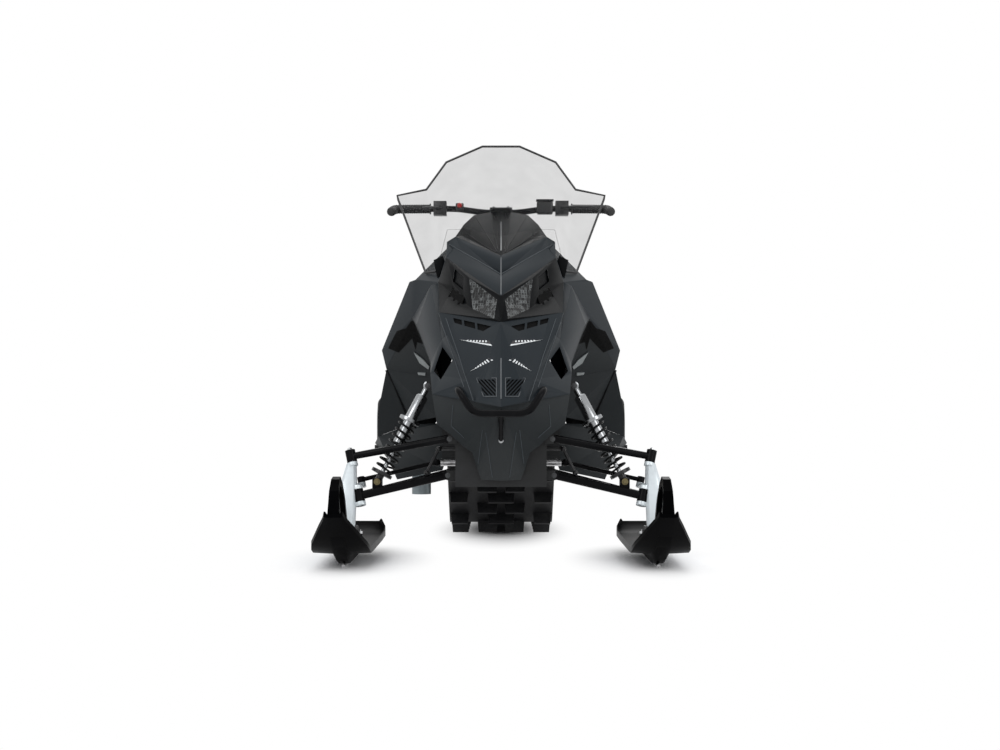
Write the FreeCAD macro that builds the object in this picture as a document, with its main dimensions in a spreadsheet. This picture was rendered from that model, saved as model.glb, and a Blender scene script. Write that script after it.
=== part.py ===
import FreeCAD, Part

import math
import os

import Sketcher
from FreeCAD import Placement, Rotation, Vector

# A mountain and trail snowmobile with a tall windshield, seen nose-on. Millimetres, +Z up, the nose
# towards -Y, +X on the rider's left. The origin is on the ground under the middle of the machine.
# Stations along the body are given as "ahead", the distance in front of the ski spindles.

doc = FreeCAD.newDocument("Snowmobile")
sheet = doc.addObject("Spreadsheet::Sheet", "Sizes")

# Driving sizes
SIZES = {
    # Stance and stations
    "ski_stance": 940,
    "spindle_station": 930,
    "drive_behind_spindle": 715,
    "drive_height": 350,
    "idler_behind_drive": 1465,
    # Track loop
    "track_width": 381,
    "belt_thickness": 7,
    "lug_height": 41,
    "lug_root": 15,
    "lug_tip": 9,
    "lug_draw": 4,
    "outer_lug_start_share": 0.62,
    "outer_lug_end_share": 0.975,
    "mid_lug_start_share": 0.065,
    "mid_lug_end_share": 0.46,
    "centre_lug_share": 0.26,
    "track_pitch": 73,
    "sprocket_radius": 80,
    "idler_radius": 100,
    "approach_radius": 180,
    "approach_behind_drive": 345,
    "fit_gap": 0.3,
    # Skid: rails, wheels and arms
    "rail_spacing": 220,
    "rail_thickness": 10,
    "rail_height": 58,
    "rail_sweep_angle": 50,
    "rail_short_of_idler": 60,
    "rail_heel_length": 40,
    "rail_heel_past": 24,
    "rail_heel_height": 124,
    "rail_window_first_share": 0.2,
    "rail_window_middle_share": 0.5,
    "rail_window_last_share": 0.8,
    "rail_window_length": 170,
    "rail_window_height": 20,
    "rail_window_foot": 22,
    "wheel_width": 26,
    "idler_outer_spread": 310,
    "idler_inner_spread": 150,
    "bogie_radius": 67,
    "bogie_spread": 262,
    "first_bogie_share": 0.355,
    "last_bogie_share": 0.802,
    "first_bogie_behind_drive": "=idler_behind_drive * first_bogie_share",
    "last_bogie_behind_drive": "=idler_behind_drive * last_bogie_share",
    "wheel_dish_share": 0.3,
    "wheel_dish_radius_share": 0.78,
    "wheel_hub_share": 0.3,
    "sprocket_teeth": 8,
    "sprocket_root_share": 0.86,
    "drive_shaft_radius": 15,
    "drive_inner_share": 0.3,
    "drive_outer_share": 0.75,
    "axle_radius": 12,
    "arm_tube_radius": 14,
    "arm_spread_share": 0.6,
    "front_arm_foot_share": 0.321,
    "front_arm_foot_behind_drive": "=idler_behind_drive * front_arm_foot_share",
    "front_arm_reach": 250,
    "front_arm_height": 330,
    "rear_arm_foot_share": 0.7645,
    "rear_arm_foot_behind_drive": "=idler_behind_drive * rear_arm_foot_share",
    "rear_arm_reach": 330,
    "rear_arm_height": 306,
    "skid_shock_reach": 130,
    "skid_shock_height": 330,
    "skid_shock_radius": 24,
    "skid_eye_radius": 16,
    "rear_shock_foot_ahead": 60,
    # Tunnel and running boards
    "tunnel_width": 408,
    "sheet_thickness": 3,
    "tunnel_front_behind_spindle": 562,
    "tunnel_past_idler": 335,
    "tunnel_length": "=idler_behind_drive + tunnel_past_idler",
    "tunnel_slope_length": 420,
    "rack_hole_across": 240,
    "rack_hole_along": 320,
    "rack_hole_short": 670,
    "rack_hole_middle": "=tunnel_length - rack_hole_short",
    "rack_hole_radius": 4.5,
    "tunnel_front_top": 505,
    "tunnel_rear_top": 455,
    "tunnel_front_bottom": 290,
    "tunnel_sill_short": 510,
    "tunnel_sill_length": "=tunnel_length - tunnel_sill_short",
    "tunnel_rear_bottom": 372,
    "board_height": 332,
    "board_width": 240,
    "board_flange": 26,
    "board_edge_drop": 22,
    "board_edge_rise": 6,
    "board_edge_roll": 10,
    "board_inner_slot_share": 0.3,
    "board_outer_slot_share": 0.7,
    "board_slot_count": 15,
    "board_front_behind_spindle": 770,
    "board_length": 1380,
    "board_hole_width": 34,
    "board_hole_length": 58,
    "board_hole_pitch": "=board_length / board_slot_count",
    # Front tub
    "tub_half_width": 142,
    "tub_wall": 5,
    "ear_thickness": 5,
    "tub_ahead": 40,
    "tub_floor": 230,
    "tub_floor_end": 470,
    "tub_front_top": 392,
    "tub_rear_top": 562,
    "engine_width": 200,
    "engine_length": 280,
    "engine_height": 320,
    "engine_front_behind_spindle": 140,
    # Bodywork frame of reference and panel thickness
    "cowl_size": 1000,
    "seam_gap": 0.35,
    "sliver": 9000,
    "panel_thickness": 4,
    "glass_thickness": 3,
    # Front suspension
    "upper_ball_x": 472,
    "upper_ball_behind": 33,
    "upper_ball_height": 322,
    "lower_ball_x": 444,
    "lower_ball_height": 200,
    "ball_radius": 11,
    "arm_radius": 11,
    "lower_arm_radius": 13,
    "arm_wall": 4,
    "arm_brace_share": 0.6,
    "arm_brace_radius_share": 0.8,
    "upper_gusset_share": 0.2,
    "lower_gusset_share": 0.3,
    "upper_pivot_x": 160,
    "upper_pivot_height": 379,
    "upper_pivot_front": -20,
    "upper_pivot_rear": 200,
    "lower_pivot_x": 168,
    "lower_pivot_height": 262,
    "lower_pivot_front": 70,
    "lower_pivot_rear": 260,
    "link_top_x": 197,
    "link_behind": 53,
    "link_top_height": 345,
    "link_foot_x": 235,
    "link_foot_height": 270,
    "link_radius": 5,
    "link_eye_radius": 9,
    "sway_bar_behind": 150,
    "sway_radius": 7,
    "pivot_sleeve_radius": 15,
    "pivot_sleeve_length": 44,
    "shock_top_x": 232,
    "shock_top_height": 545,
    "shock_foot_x": 390,
    "shock_foot_height": 243,
    "shock_top_behind": 84,
    "shock_foot_behind": 44,
    "shock_body_radius": 22,
    "shock_rod_radius": 7,
    "shock_eye_radius": 15,
    "shock_eye_length": 30,
    "shock_ring_share": 0.03,
    "spring_radius": 31,
    "spring_wire_radius": 3.5,
    "spring_turns": 8,
    "spring_start_share": 0.38,
    "spring_end_share": 0.9,
    "spring_seat_share": 0.014,
    "canister_start_share": 0.06,
    "canister_length_share": 0.36,
    "canister_radius": 15,
    "canister_offset": 48,
    # Spindle and ski
    "spindle_width": 50,
    "spindle_depth": 58,
    "ski_bolt_height": 84,
    "ski_bolt_ahead": 20,
    "ski_width": 172,
    "ski_reach_front": 580,
    "ski_reach_rear": 490,
    "ski_thickness": 9,
    "ski_base": 43,
    "ski_lip": 22,
    "loop_top": 281,
    "loop_width": 30,
    "keel_width": 34,
    "runner_rear": 200,
    "runner_front": 250,
    "saddle_width": 72,
    "saddle_length": 88,
    "saddle_cheek": 7,
    "saddle_cheek_top": 108,
    "spindle_outset": 8,
    "spindle_foot_drop": 22,
    "spindle_lean": 14,
    "spindle_corner": 8,
    "knuckle_half": 20,
    "knuckle_radius": 16,
    "kingpin_radius": 7,
    "fork_thickness": 12,
    "arm_drop": 18,
    "runner_radius": 5,
    "steer_arm_length": 110,
    "tie_rod_radius": 7,
    "tie_rod_inner_x": 205,
    "tie_rod_outer_x": 447,
    "tie_rod_outer_height": 245,
    "tie_eye_radius": 12,
    "rack_radius": 11,
    "rack_height": 300,
    "rack_behind": 110,
    "running_gap": 5,
    # Handlebar
    "bar_height": 1172,
    "bar_behind": 760,
    "bar_width": 772,
    "bar_radius": 11,
    "grip_radius": 16,
    "post_radius": 12,
    "post_tilt": 25,
    "post_foot_height": 640,
    "socket_depth": 34,
    "socket_radius": 20,
    "frame_tube_radius": 12,
    "frame_foot_x": "=tub_half_width - tub_wall / 2",
    "frame_foot_inset": 20,
    "frame_front_behind": 60,
    # Rear end
    "rear_bumper_reach": 65,
    "rear_bumper_grip": 362,
    "rear_bumper_rise": 65,
    "rear_bumper_radius": 13,
    "flap_width": 386,
    "flap_thickness": 8,
    "flap_bottom": 150,
    "flap_lean": 70,
    # Seat and tank
    "tank_front_behind_tunnel": 143,
    "tank_length": 265,
    "tank_height": 480,
    "tank_half_width": 140,
    "seat_length": 700,
    "seat_height": 375,
    "seat_half_width": 135,
    # Nose tube
    "nose_bumper_radius": 11,
    "strut_radius": 8,
    "shoulder_share": 0.25,
    "waist_share": 0.3,
    "foot_share": 0.9,
    "lamp_depth": 35,
    "toe_tube_radius": 10,
    "toe_rise": 102,
    "toe_behind_board_front": 30,
    "toe_inset": 6.5,
    "clamp_length": 80,
    "clamp_size": 34,
    "grip_start_share": 0.42,
    "grip_end_share": 0.895,
    "block_depth": 42,
    "block_height": 50,
    "lever_radius": 5,
    "outlet_radius": 36,
}
# Outlines as shares of the ski's reach, half width, base height and keel depth
SKI_SHARES = [
    (-0.845, 0.72, 1.8, 0.1),
    (-0.76, 0.9, 1.25, 0.5),
    (-0.6, 0.98, 1.02, 0.9),
    (-0.3, 1, 1, 1),
    (0.3, 1, 1, 1),
    (0.5, 1, 1.07, 0.9),
    (0.6, 0.99, 1.18, 0.7),
    (0.7, 0.93, 1.42, 0.5),
    (0.8, 0.76, 1.95, 0.35),
    (0.88, 0.56, 2.45, 0.25),
    (0.95, 0.38, 2.9, 0.15),
    (1, 0.28, 3.25, 0.1),
]
LOOP_OUTER_SHARES = [
    (0.46, 0.19), (0.54, 0.48), (0.65, 0.77), (0.77, 0.94), (0.88, 1), (0.96, 0.95), (1, 0.8), (1, 0.56),
    (0.95, 0.47), (0.88, 0.4), (0.8, 0.32), (0.7, 0.235), (0.6, 0.2), (0.5, 0.18),
]
LOOP_INNER_SHARES = [
    (0.56, 0.29), (0.61, 0.5), (0.69, 0.71), (0.79, 0.85), (0.88, 0.9), (0.935, 0.86), (0.96, 0.77), (0.955, 0.63),
    (0.91, 0.54), (0.84, 0.46), (0.75, 0.37), (0.65, 0.3),
]

# The bodywork's corners on the rider's left, as shares of the cowl's size: across, ahead of the
# spindles and up
SHOCK_NECK_SHARE, SHOCK_NECK_WIDTH_SHARE = 0.1, 0.6
SKIN_INSIDE_SHARE = (0, -0.35, 0.6)
SKIN_SHARES = {
    "brow_top": (0, -0.09, 0.96),
    "brow_peak": (0.15, -0.26, 1.037),
    "brow_tip": (0.178, -0.26, 1.02),
    "brow_notch": (0.157, -0.23, 0.994),
    "brow_edge": (0.178, -0.2, 0.962),
    "brow_chin": (0, 0.06, 0.822),
    "brow_crease": (0.13, -0.21, 0.992),
    "brow_middle": (0, -0.01, 0.889),
    "lamp_outer_top": (0.101, -0.06, 0.887),
    "lamp_inner_top": (0.012, 0.05, 0.811),
    "lamp_inner_low": (0.021, 0.085, 0.75),
    "lamp_outer_low": (0.089, -0.02, 0.786),
    "nose_top": (0, 0.095, 0.74),
    "nose_wing": (0.195, -0.04, 0.776),
    "nose_side": (0.168, 0.03, 0.702),
    "nose_low_side": (0.097, 0.17, 0.561),
    "nose_chin_side": (0.078, 0.235, 0.494),
    "nose_chin": (0, 0.262, 0.479),
    "fin_top": (0.205, -0.23, 0.886),
    "flank_top": (0.229, -0.2, 0.871),
    "flank_front": (0.185, 0, 0.692),
    "flank_toe": (0.221, 0.02, 0.581),
    "flank_heel": (0.222, -0.03, 0.616),
    "flank_back": (0.275, -0.2, 0.746),
    "leaf_root": (0.285, -0.33, 0.901),
    "leaf_ridge": (0.307, -0.36, 0.896),
    "leaf_out": (0.414, -0.56, 0.672),
    "leaf_low": (0.401, -0.6, 0.608),
    "leaf_apex": (0.298, -0.38, 0.775),
    "knee_top": (0.23, -0.75, 0.86),
    "knee_side": (0.3, -0.84, 0.63),
    "knee_low": (0.25, -0.88, 0.4),
    "leaf_foot": (0.32, -0.66, 0.42),
    "shoulder": (0.18, -0.45, 1.02),
    "shoulder_back": (0.16, -0.7, 0.95),
    "pod_top": (0, -0.5, 1.152),
    "pod_corner": (0.093, -0.5, 1.135),
    "pod_side": (0.126, -0.42, 1.094),
    "pod_low": (0.131, -0.33, 1.047),
    "pod_back": (0, -0.585, 1.08),
    "pod_back_side": (0.1, -0.575, 1.06),
    "dash_top": (0.055, -0.6, 1.065),
    "dash_low": (0.06, -0.692, 0.95),
    "hug_top": (0.135, -0.705, 0.93),
    "hug_middle": (0.152, -0.84, 0.83),
    "hug_low": (0.212, -0.93, 0.472),
    "belly_side": (0.212, 0.1, 0.518),
    "belly_waist": (0.198, 0.08, 0.424),
    "belly_step": (0.155, 0.1, 0.393),
    "belly_hip": (0.114, 0.11, 0.356),
    "belly_notch": (0.089, 0.11, 0.338),
    "belly_keel_side": (0.074, 0.09, 0.289),
    "belly_foot": (0.062, 0.06, 0.252),
    "belly_keel": (0, 0.065, 0.25),
}
SKIN_PANELS = {
    "brow": [
        ["brow_peak", "brow_tip", "brow_notch", "brow_crease", "brow_middle", "brow_top"],
        ["brow_middle", "brow_crease", "brow_notch", "brow_edge", "brow_chin"],
    ],
    "headlight_housing": [
        ["brow_chin", "lamp_inner_top", "lamp_outer_top", "brow_edge"],
        ["brow_edge", "fin_top", "lamp_outer_low", "lamp_outer_top"],
        ["fin_top", "nose_wing", "lamp_outer_low"],
        ["nose_wing", "nose_top", "lamp_inner_low", "lamp_outer_low"],
        ["nose_top", "lamp_inner_low", "lamp_inner_top", "brow_chin"],
    ],
    "headlights": [["lamp_inner_top", "lamp_outer_top", "lamp_outer_low", "lamp_inner_low"]],
    "nose_cowl": [
        ["nose_top", "nose_wing", "nose_side"], ["nose_top", "nose_side", "nose_low_side"],
        ["nose_top", "nose_low_side", "nose_chin_side", "nose_chin"],
    ],
    "nose_cheeks": [
        ["nose_low_side", "nose_side", "flank_front"], ["nose_low_side", "flank_front", "flank_toe"],
        ["nose_low_side", "flank_toe", "belly_side"], ["nose_low_side", "belly_side", "nose_chin_side"],
    ],
    "side_panels": [
        ["flank_front", "nose_wing", "fin_top", "flank_top", "flank_back", "flank_heel", "flank_toe"],
        ["nose_wing", "flank_front", "nose_side"],
        ["fin_top", "leaf_root", "leaf_apex", "flank_top"], ["flank_top", "leaf_apex", "flank_back"],
        ["leaf_root", "leaf_ridge", "leaf_out", "leaf_apex"], ["leaf_apex", "leaf_out", "leaf_low"],
        ["leaf_ridge", "knee_top", "knee_side", "leaf_out"], ["leaf_out", "knee_side", "leaf_low"],
        ["leaf_low", "knee_side", "knee_low", "leaf_foot"],
        ["brow_edge", "brow_tip", "shoulder", "fin_top"], ["fin_top", "shoulder", "leaf_root"],
        ["leaf_root", "shoulder", "knee_top", "leaf_ridge"], ["shoulder", "shoulder_back", "knee_top"],
        ["brow_edge", "brow_notch", "brow_tip"],
        ["shoulder_back", "hug_top", "hug_middle", "knee_top"],
        ["knee_top", "hug_middle", "hug_low", "knee_side"], ["knee_side", "hug_low", "knee_low"],
    ],
    "console_pod": [
        ["brow_top", "pod_top", "pod_corner"], ["brow_top", "pod_corner", "pod_side", "pod_low"],
        ["brow_top", "pod_low", "brow_peak"], ["brow_peak", "pod_low", "shoulder", "brow_tip"],
        ["pod_low", "pod_side", "shoulder"], ["pod_corner", "pod_back_side", "shoulder", "pod_side"],
        ["pod_top", "pod_back", "pod_back_side", "pod_corner"],
        ["pod_back_side", "shoulder_back", "shoulder"], ["pod_back", "dash_top", "pod_back_side"],
        ["pod_back_side", "dash_top", "dash_low", "shoulder_back"],
    ],
    "belly_pan": [
        ["nose_chin", "nose_chin_side", "belly_side", "belly_step"], ["belly_side", "belly_waist", "belly_step"],
        ["nose_chin", "belly_step", "belly_hip", "belly_notch", "belly_keel_side", "belly_foot", "belly_keel"],
    ],
}
GLASS_INSIDE_SHARE = (0, -0.8, 1.05)
GLASS_SHARES = {
    "crown": (0, -0.6, 1.385),
    "crown_side": (0.065, -0.6, 1.385),
    "shoulder": (0.191, -0.6, 1.33),
    "waist": (0.258, -0.54, 1.227),
    "ear_top": (0.357, -0.52, 1.204),
    "ear_low": (0.354, -0.52, 1.19),
    "foot_out": (0.251, -0.33, 0.924),
    "foot_in": (0.214, -0.285, 0.925),
    "lap": (0.178, -0.272, 1.062),
    "lap_middle": (0.1, -0.235, 1.06),
    "root": (0, -0.205, 1.035),
}
GLASS_FACETS = [
    ["crown", "crown_side", "lap_middle", "root"], ["crown_side", "shoulder", "lap_middle"],
    ["shoulder", "lap", "lap_middle"], ["shoulder", "waist", "lap"], ["waist", "foot_in", "lap"],
    ["waist", "foot_out", "foot_in"], ["waist", "ear_low", "foot_out"], ["waist", "ear_top", "ear_low"],
]
# Openings through the nose, across and up: intake slots and their ribs, grille, cheek duct, outer lamp
# and louvres
INTAKE_SHARES = [(0.15, 0.757), (0.03, 0.727), (0.055, 0.712), (0.145, 0.741)]
INTAKE_RIB_SHARES = [0.068, 0.108]
INTAKE_RIB_WIDTH_SHARE, INTAKE_RIB_LEAN_SHARE = 0.007, 0.012
GRILLE_SHARES = [(0.016, 0.562), (0.07, 0.562), (0.05, 0.514), (0.016, 0.514)]
GRILLE_PITCH_SHARE, GRILLE_SLOT_SHARE, GRILLE_RISE_SHARE = 0.0115, 0.0065, 0.045
DUCT_SHARES = [(0.183, 0.666), (0.209, 0.59), (0.186, 0.563), (0.15, 0.622)]
OUTER_LAMP_SHARES = [(0.119, 0.893), (0.149, 0.922), (0.155, 0.882), (0.121, 0.85)]
LOUVRE_SHARES = [(0.118, 0.832), (0.124, 0.836), (0.139, 0.803), (0.131, 0.802)]
LOUVRE_STEP_SHARE = (0.0155, 0.0135)
CUT_FRONT_SHARE, CUT_BACK_SHARE = 0.4, -0.3
BRACKET_SHARES = [(0.182, 0.905), (0.182, 0.95), (0.192, 0.974), (0.222, 0.96), (0.209, 0.899)]
BRACKET_FRONT_SHARE, BRACKET_BACK_SHARE = -0.262, -0.3
LINER_INSIDE_SHARE = (0, -0.7, 0.65)
LINER_SHARES = {
    "front_top": (0.222, -0.03, 0.616),
    "front_low": (0.206, -0.04, 0.566),
    "arch": (0.275, -0.2, 0.746),
    "arch_low": (0.2, -0.2, 0.566),
    "apex": (0.298, -0.38, 0.775),
    "apex_low": (0.205, -0.37, 0.566),
    "leaf": (0.4, -0.6, 0.608),
    "heel_top": (0.225, -0.553, 0.572),
    "heel_low": (0.225, -0.553, 0.44),
    "foot": (0.32, -0.66, 0.42),
}
LINER_FACETS = [
    ["front_top", "arch", "arch_low", "front_low"], ["arch", "apex", "apex_low", "arch_low"],
    ["apex", "leaf", "heel_top", "apex_low"], ["leaf", "foot", "heel_low", "heel_top"],
]
GUARD_INSIDE_SHARE = (0.3, -0.85, 0.4)
GUARD_SHARES = {
    "board_out": (0.452, -0.757, 0.346),
    "shin_out": (0.432, -0.655, 0.372),
    "shin_low": (0.363, -0.6, 0.222),
    "keel_out": (0.36, -0.757, 0.23),
    "shin_top": (0.322, -0.645, 0.414),
    "root_top": (0.2035, -0.6, 0.42),
    "root_low": (0.2035, -0.6, 0.255),
    "keel_in": (0.2035, -0.757, 0.265),
}
GUARD_FACETS = [
    ["shin_out", "shin_low", "root_low", "root_top", "shin_top"], ["shin_out", "board_out", "keel_out", "shin_low"],
    ["shin_low", "keel_out", "keel_in", "root_low"],
]
NOSE_TUBE_SHARES = [(0.13, 0.0105, 0.53), (0.128, 0.25, 0.53), (0.082, 0.278, 0.46)]
STRUT_TOP_SHARE, STRUT_FOOT_SHARE = (0, 0.278, 0.46), (0, 0.06, 0.37)
TANK_SHARES = [(0, 0.979, 0.857, 0.6), (0.245, 1, 1, 0.6), (0.736, 0.927, 1, 0.6), (1, 0.844, 0.93, 0.6)]
SEAT_SHARES = [
    (0, 1, 0.8, 0.6), (0.05, 0.9, 0.84, 0.66), (0.15, 0.775, 0.9, 0.7), (0.35, 0.72, 0.97, 0.74),
    (0.6, 0.73, 1, 0.75), (0.85, 0.78, 0.95, 0.72), (0.95, 0.765, 0.82, 0.7), (1, 0.68, 0.64, 0.7),
]
LAMP_SHARES = [(0, 0.35, 0.6, 0.52, 0.8), (1, 0.4, 0.57, 0.42, 0.8)]
TOE_SHARES = [(0.43, -0.74, 0.5), (0.375, -0.71, 0.52)]
BAR_SHARES = [(0.0777, 0, 0), (0.2073, -0.0324, 0.022), (0.4948, -0.0518, 0.022), (0.5091, 0.0324, 0)]
BLOCK_SHARES = (0.16, 0.37)
LEVER_SHARES = [(0.25, 0.9), (0.34, 1.5), (0.85, 1.5)]
THUMB_SHARES = [(0.25, 0.9), (0.34, 1.3), (0.55, 1.2)]
OUTLET_SHARES = [(-1.76, 0.614, 0.818), (-1.76, 0.614, 1.435), (-1.0021, 0.614, 1.435)]

for row, alias in enumerate(SIZES, start=1):
    sheet.setAlias(f"A{row}", alias)
for row, value in enumerate(SIZES.values(), start=1):
    sheet.set(f"A{row}", str(value))
doc.recompute()


class Cells:
    """Reads a size from the sheet by its alias."""

    def __getattr__(self, alias):
        return float(sheet.get(alias))


mm = Cells()
parts = []


# Stations and shared places
def station(ahead):
    """The Y of a place so far ahead of the spindles."""
    return -mm.spindle_station - ahead


def spot(x, ahead, height):
    return Vector(x, station(ahead), height)


def cowl_spot(shares):
    """A place on the bodywork, from its shares of the cowl's size: across, ahead and up."""
    across, ahead, up = shares
    return spot(across * mm.cowl_size, ahead * mm.cowl_size, up * mm.cowl_size)


def mirrored(vector):
    return Vector(-vector.x, vector.y, vector.z)


def keep(label, shape):
    """Adds a finished sub-part made of one or more solids."""
    feature = doc.addObject("Part::Feature", label)
    feature.Label = label
    feature.Shape = shape
    parts.append(feature)
    return feature


def keep_object(label, source):
    source.Label = label
    parts.append(source)
    return source


def both_sides(shape):
    """The solid and its mirror image across the middle of the machine."""
    return Part.makeCompound(shape.Solids + shape.mirror(Vector(), Vector(1, 0, 0)).Solids)


# Shape helpers
def rod(start, end, radius):
    along = end - start
    return Part.makeCylinder(radius, along.Length, start, along)


def ball(centre, radius):
    return Part.makeSphere(radius, centre)


def joined(shapes):
    whole = shapes[0].multiFuse(shapes[1:])
    return whole.removeSplitter()


def block(low, high):
    return Part.makeBox(high.x - low.x, high.y - low.y, high.z - low.z, low)


def bent_path(points, bend_share=0.35):
    """Straight runs joined by tangent arcs at the inner points."""
    edges = []
    here = points[0]
    for before, corner, after in zip(points, points[1:], points[2:]):
        back, on = (before - corner), (after - corner)
        turn = math.pi - back.getAngle(on)
        reach = bend_share * min(back.Length, on.Length)
        back.normalize()
        on.normalize()
        first, last = corner + back * reach, corner + on * reach
        radius = reach / math.tan(turn / 2)
        inward = back + on
        inward.normalize()
        middle = corner + inward * (radius / math.cos(turn / 2) - radius)
        edges.append(Part.LineSegment(here, first).toShape())
        edges.append(Part.Arc(first, middle, last).toShape())
        here = last
    edges.append(Part.LineSegment(here, points[-1]).toShape())
    return Part.Wire(edges)


def bent_tube(points, radius, bend_share=0.35):
    path = bent_path(points, bend_share)
    along = points[1] - points[0]
    ring = Part.Wire(Part.makeCircle(radius, points[0], along))
    return path.makePipeShell([ring], True, False)


def triangle(a, b, c):
    return Part.Face(Part.makePolygon([a, b, c, a]))


def faceted_solid(faces):
    solid = Part.makeSolid(Part.makeShell(faces))
    if solid.Volume < 0:
        solid.reverse()
    return solid


def fan(facet):
    """The triangles of a facet, all from its first corner."""
    return [(facet[0], second, third) for second, third in zip(facet[1:], facet[2:])]


def skin_solids(shares, panels, inside, thickness):
    """Panels of one faceted skin. The skin is drawn for the rider's left and mirrored; every panel gets
    an inner face a thickness nearer the inside, mitred with its neighbours at the shared corners."""
    outer = {name: cowl_spot(place) for name, place in shares.items()}
    centre = cowl_spot(inside)
    normals = {name: [] for name in outer}
    oriented = {}
    for panel, facets in panels.items():
        oriented[panel] = []
        for a, b, c in [corners for facet in facets for corners in fan(facet)]:
            normal = (outer[b] - outer[a]).cross(outer[c] - outer[a])
            normal.normalize()
            middle = (outer[a] + outer[b] + outer[c]) / 3
            if normal.dot(middle - centre) < 0:
                b, c, normal = c, b, -normal
            oriented[panel].append((a, b, c))
            for name in (a, b, c):
                normals[name].append(normal)
    inner = {}
    for name in [name for name, around in normals.items() if around]:
        around = normals[name]
        lean = Vector()
        for normal in around:
            lean += normal
        if abs(outer[name].x) < mm.fit_gap:
            lean.x = 0
        lean.normalize()
        steepest = max(min(lean.dot(normal) for normal in around), 0.5)
        inner[name] = outer[name] - lean * (thickness / steepest)
    return {panel: panel_solid(corners, outer, inner) for panel, corners in oriented.items()}


def panel_solid(triangles, outer, inner):
    """A closed solid between a panel's outer and inner corners. A panel that reaches the middle line
    is made whole with its mirror image."""
    names = {name for corners in triangles for name in corners}
    central = [name for name in names if abs(outer[name].x) < mm.fit_gap]
    places = {}
    for name in names:
        places[name] = (outer[name], inner[name])
        places["other " + name] = (mirrored(outer[name]), mirrored(inner[name]))
    for name in central:
        places["other " + name] = places[name]
    whole = list(triangles)
    joins = len(central) > 1
    if joins:
        alias = {name: name if name in central else "other " + name for name in names}
        whole += [(alias[c], alias[b], alias[a]) for a, b, c in triangles]
    used = {name for corners in whole for name in corners}
    middle = sum((places[name][0] for name in used), Vector()) / len(used)

    def drawn_in(point):
        pull = middle - point
        return point + pull * (mm.seam_gap / max(pull.Length, mm.seam_gap))

    out = {name: drawn_in(places[name][0]) for name in used}
    back = {name: drawn_in(places[name][1]) for name in used}
    faces = []
    edges = set()
    for a, b, c in whole:
        faces += [triangle(out[a], out[b], out[c]), triangle(back[c], back[b], back[a])]
        edges |= {(a, b), (b, c), (c, a)}
    for a, b in sorted(edges):
        if (b, a) in edges:
            continue
        if a < b:
            faces += [triangle(out[b], out[a], back[a]), triangle(out[b], back[a], back[b])]
        else:
            faces += [triangle(out[b], out[a], back[b]), triangle(out[a], back[a], back[b])]
    solid = faceted_solid(faces)
    return solid if joins else both_sides(solid)


# Sketch helpers for the PartDesign bodies
def plane_of(body, role):
    return next(item for item in body.Origin.OriginFeatures if item.Role == role)


def new_body(name):
    return doc.addObject("PartDesign::Body", name)


def polygon_sketch(body, name, role, corners):
    """A closed outline on one of the body's own planes. Every corner is a pair of expressions on the
    sheet, so that the outline follows its sizes."""
    sketch = body.newObject("Sketcher::SketchObject", name)
    sketch.AttachmentSupport = (plane_of(body, role), [""])
    sketch.MapMode = "FlatFace"
    draw_polygon(sketch, corners)
    return sketch


def draw_polygon(sketch, corners):
    first = sketch.GeometryCount
    count = len(corners)
    start = [
        Vector(math.cos(2 * math.pi * i / count), math.sin(2 * math.pi * i / count), 0)
        for i in range(count)
    ]
    for i in range(count):
        sketch.addGeometry(Part.LineSegment(start[i], start[(i + 1) % count]), False)
    for i in range(count):
        follower = first + (i + 1) % count
        sketch.addConstraint(Sketcher.Constraint("Coincident", first + i, 2, follower, 1))
    for i, (across, up) in enumerate(corners):
        for kind, value, cell in (("DistanceX", start[i].x, across), ("DistanceY", start[i].y, up)):
            fix = Sketcher.Constraint(kind, -1, 1, first + i, 1, value)
            sketch.setExpression(f"Constraints[{sketch.addConstraint(fix)}]", cell)


def pad(body, name, sketch, length, symmetric=True):
    feature = body.newObject("PartDesign::Pad", name)
    feature.Profile = sketch
    feature.SideType = "Symmetric" if symmetric else "One side"
    feature.setExpression("Length", length)
    return feature


def pocket(body, name, sketch, length, symmetric=True):
    feature = body.newObject("PartDesign::Pocket", name)
    feature.Profile = sketch
    feature.SideType = "Symmetric" if symmetric else "One side"
    feature.setExpression("Length", length)
    return feature


def drill_top(body, name, centres, radius, height, length):
    """Round holes along Z at a height, each centre a pair of expressions."""
    sketch = body.newObject("Sketcher::SketchObject", name)
    sketch.AttachmentSupport = (plane_of(body, "XY_Plane"), [""])
    sketch.MapMode = "FlatFace"
    sketch.setExpression("AttachmentOffset.Base.z", height)
    for across, along in centres:
        index = sketch.addGeometry(Part.Circle(Vector(1, 1, 0), Vector(0, 0, 1), 1), False)
        for kind, cell in (("DistanceX", across), ("DistanceY", along)):
            fix = Sketcher.Constraint(kind, -1, 1, index, 3, 1)
            sketch.setExpression(f"Constraints[{sketch.addConstraint(fix)}]", cell)
        size = Sketcher.Constraint("Radius", index, 1)
        sketch.setExpression(f"Constraints[{sketch.addConstraint(size)}]", radius)
    doc.recompute()
    return pocket(body, name + "Cut", sketch, length)


# Tunnel: a folded sheet channel over the track, closed in front, open below and behind
TUNNEL_FRONT = "(Sizes.tunnel_front_behind_spindle - Sizes.spindle_station)"
TUNNEL_REAR = f"({TUNNEL_FRONT} + Sizes.tunnel_length)"
TUNNEL_STEP = f"({TUNNEL_FRONT} + Sizes.tunnel_slope_length)"


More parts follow.
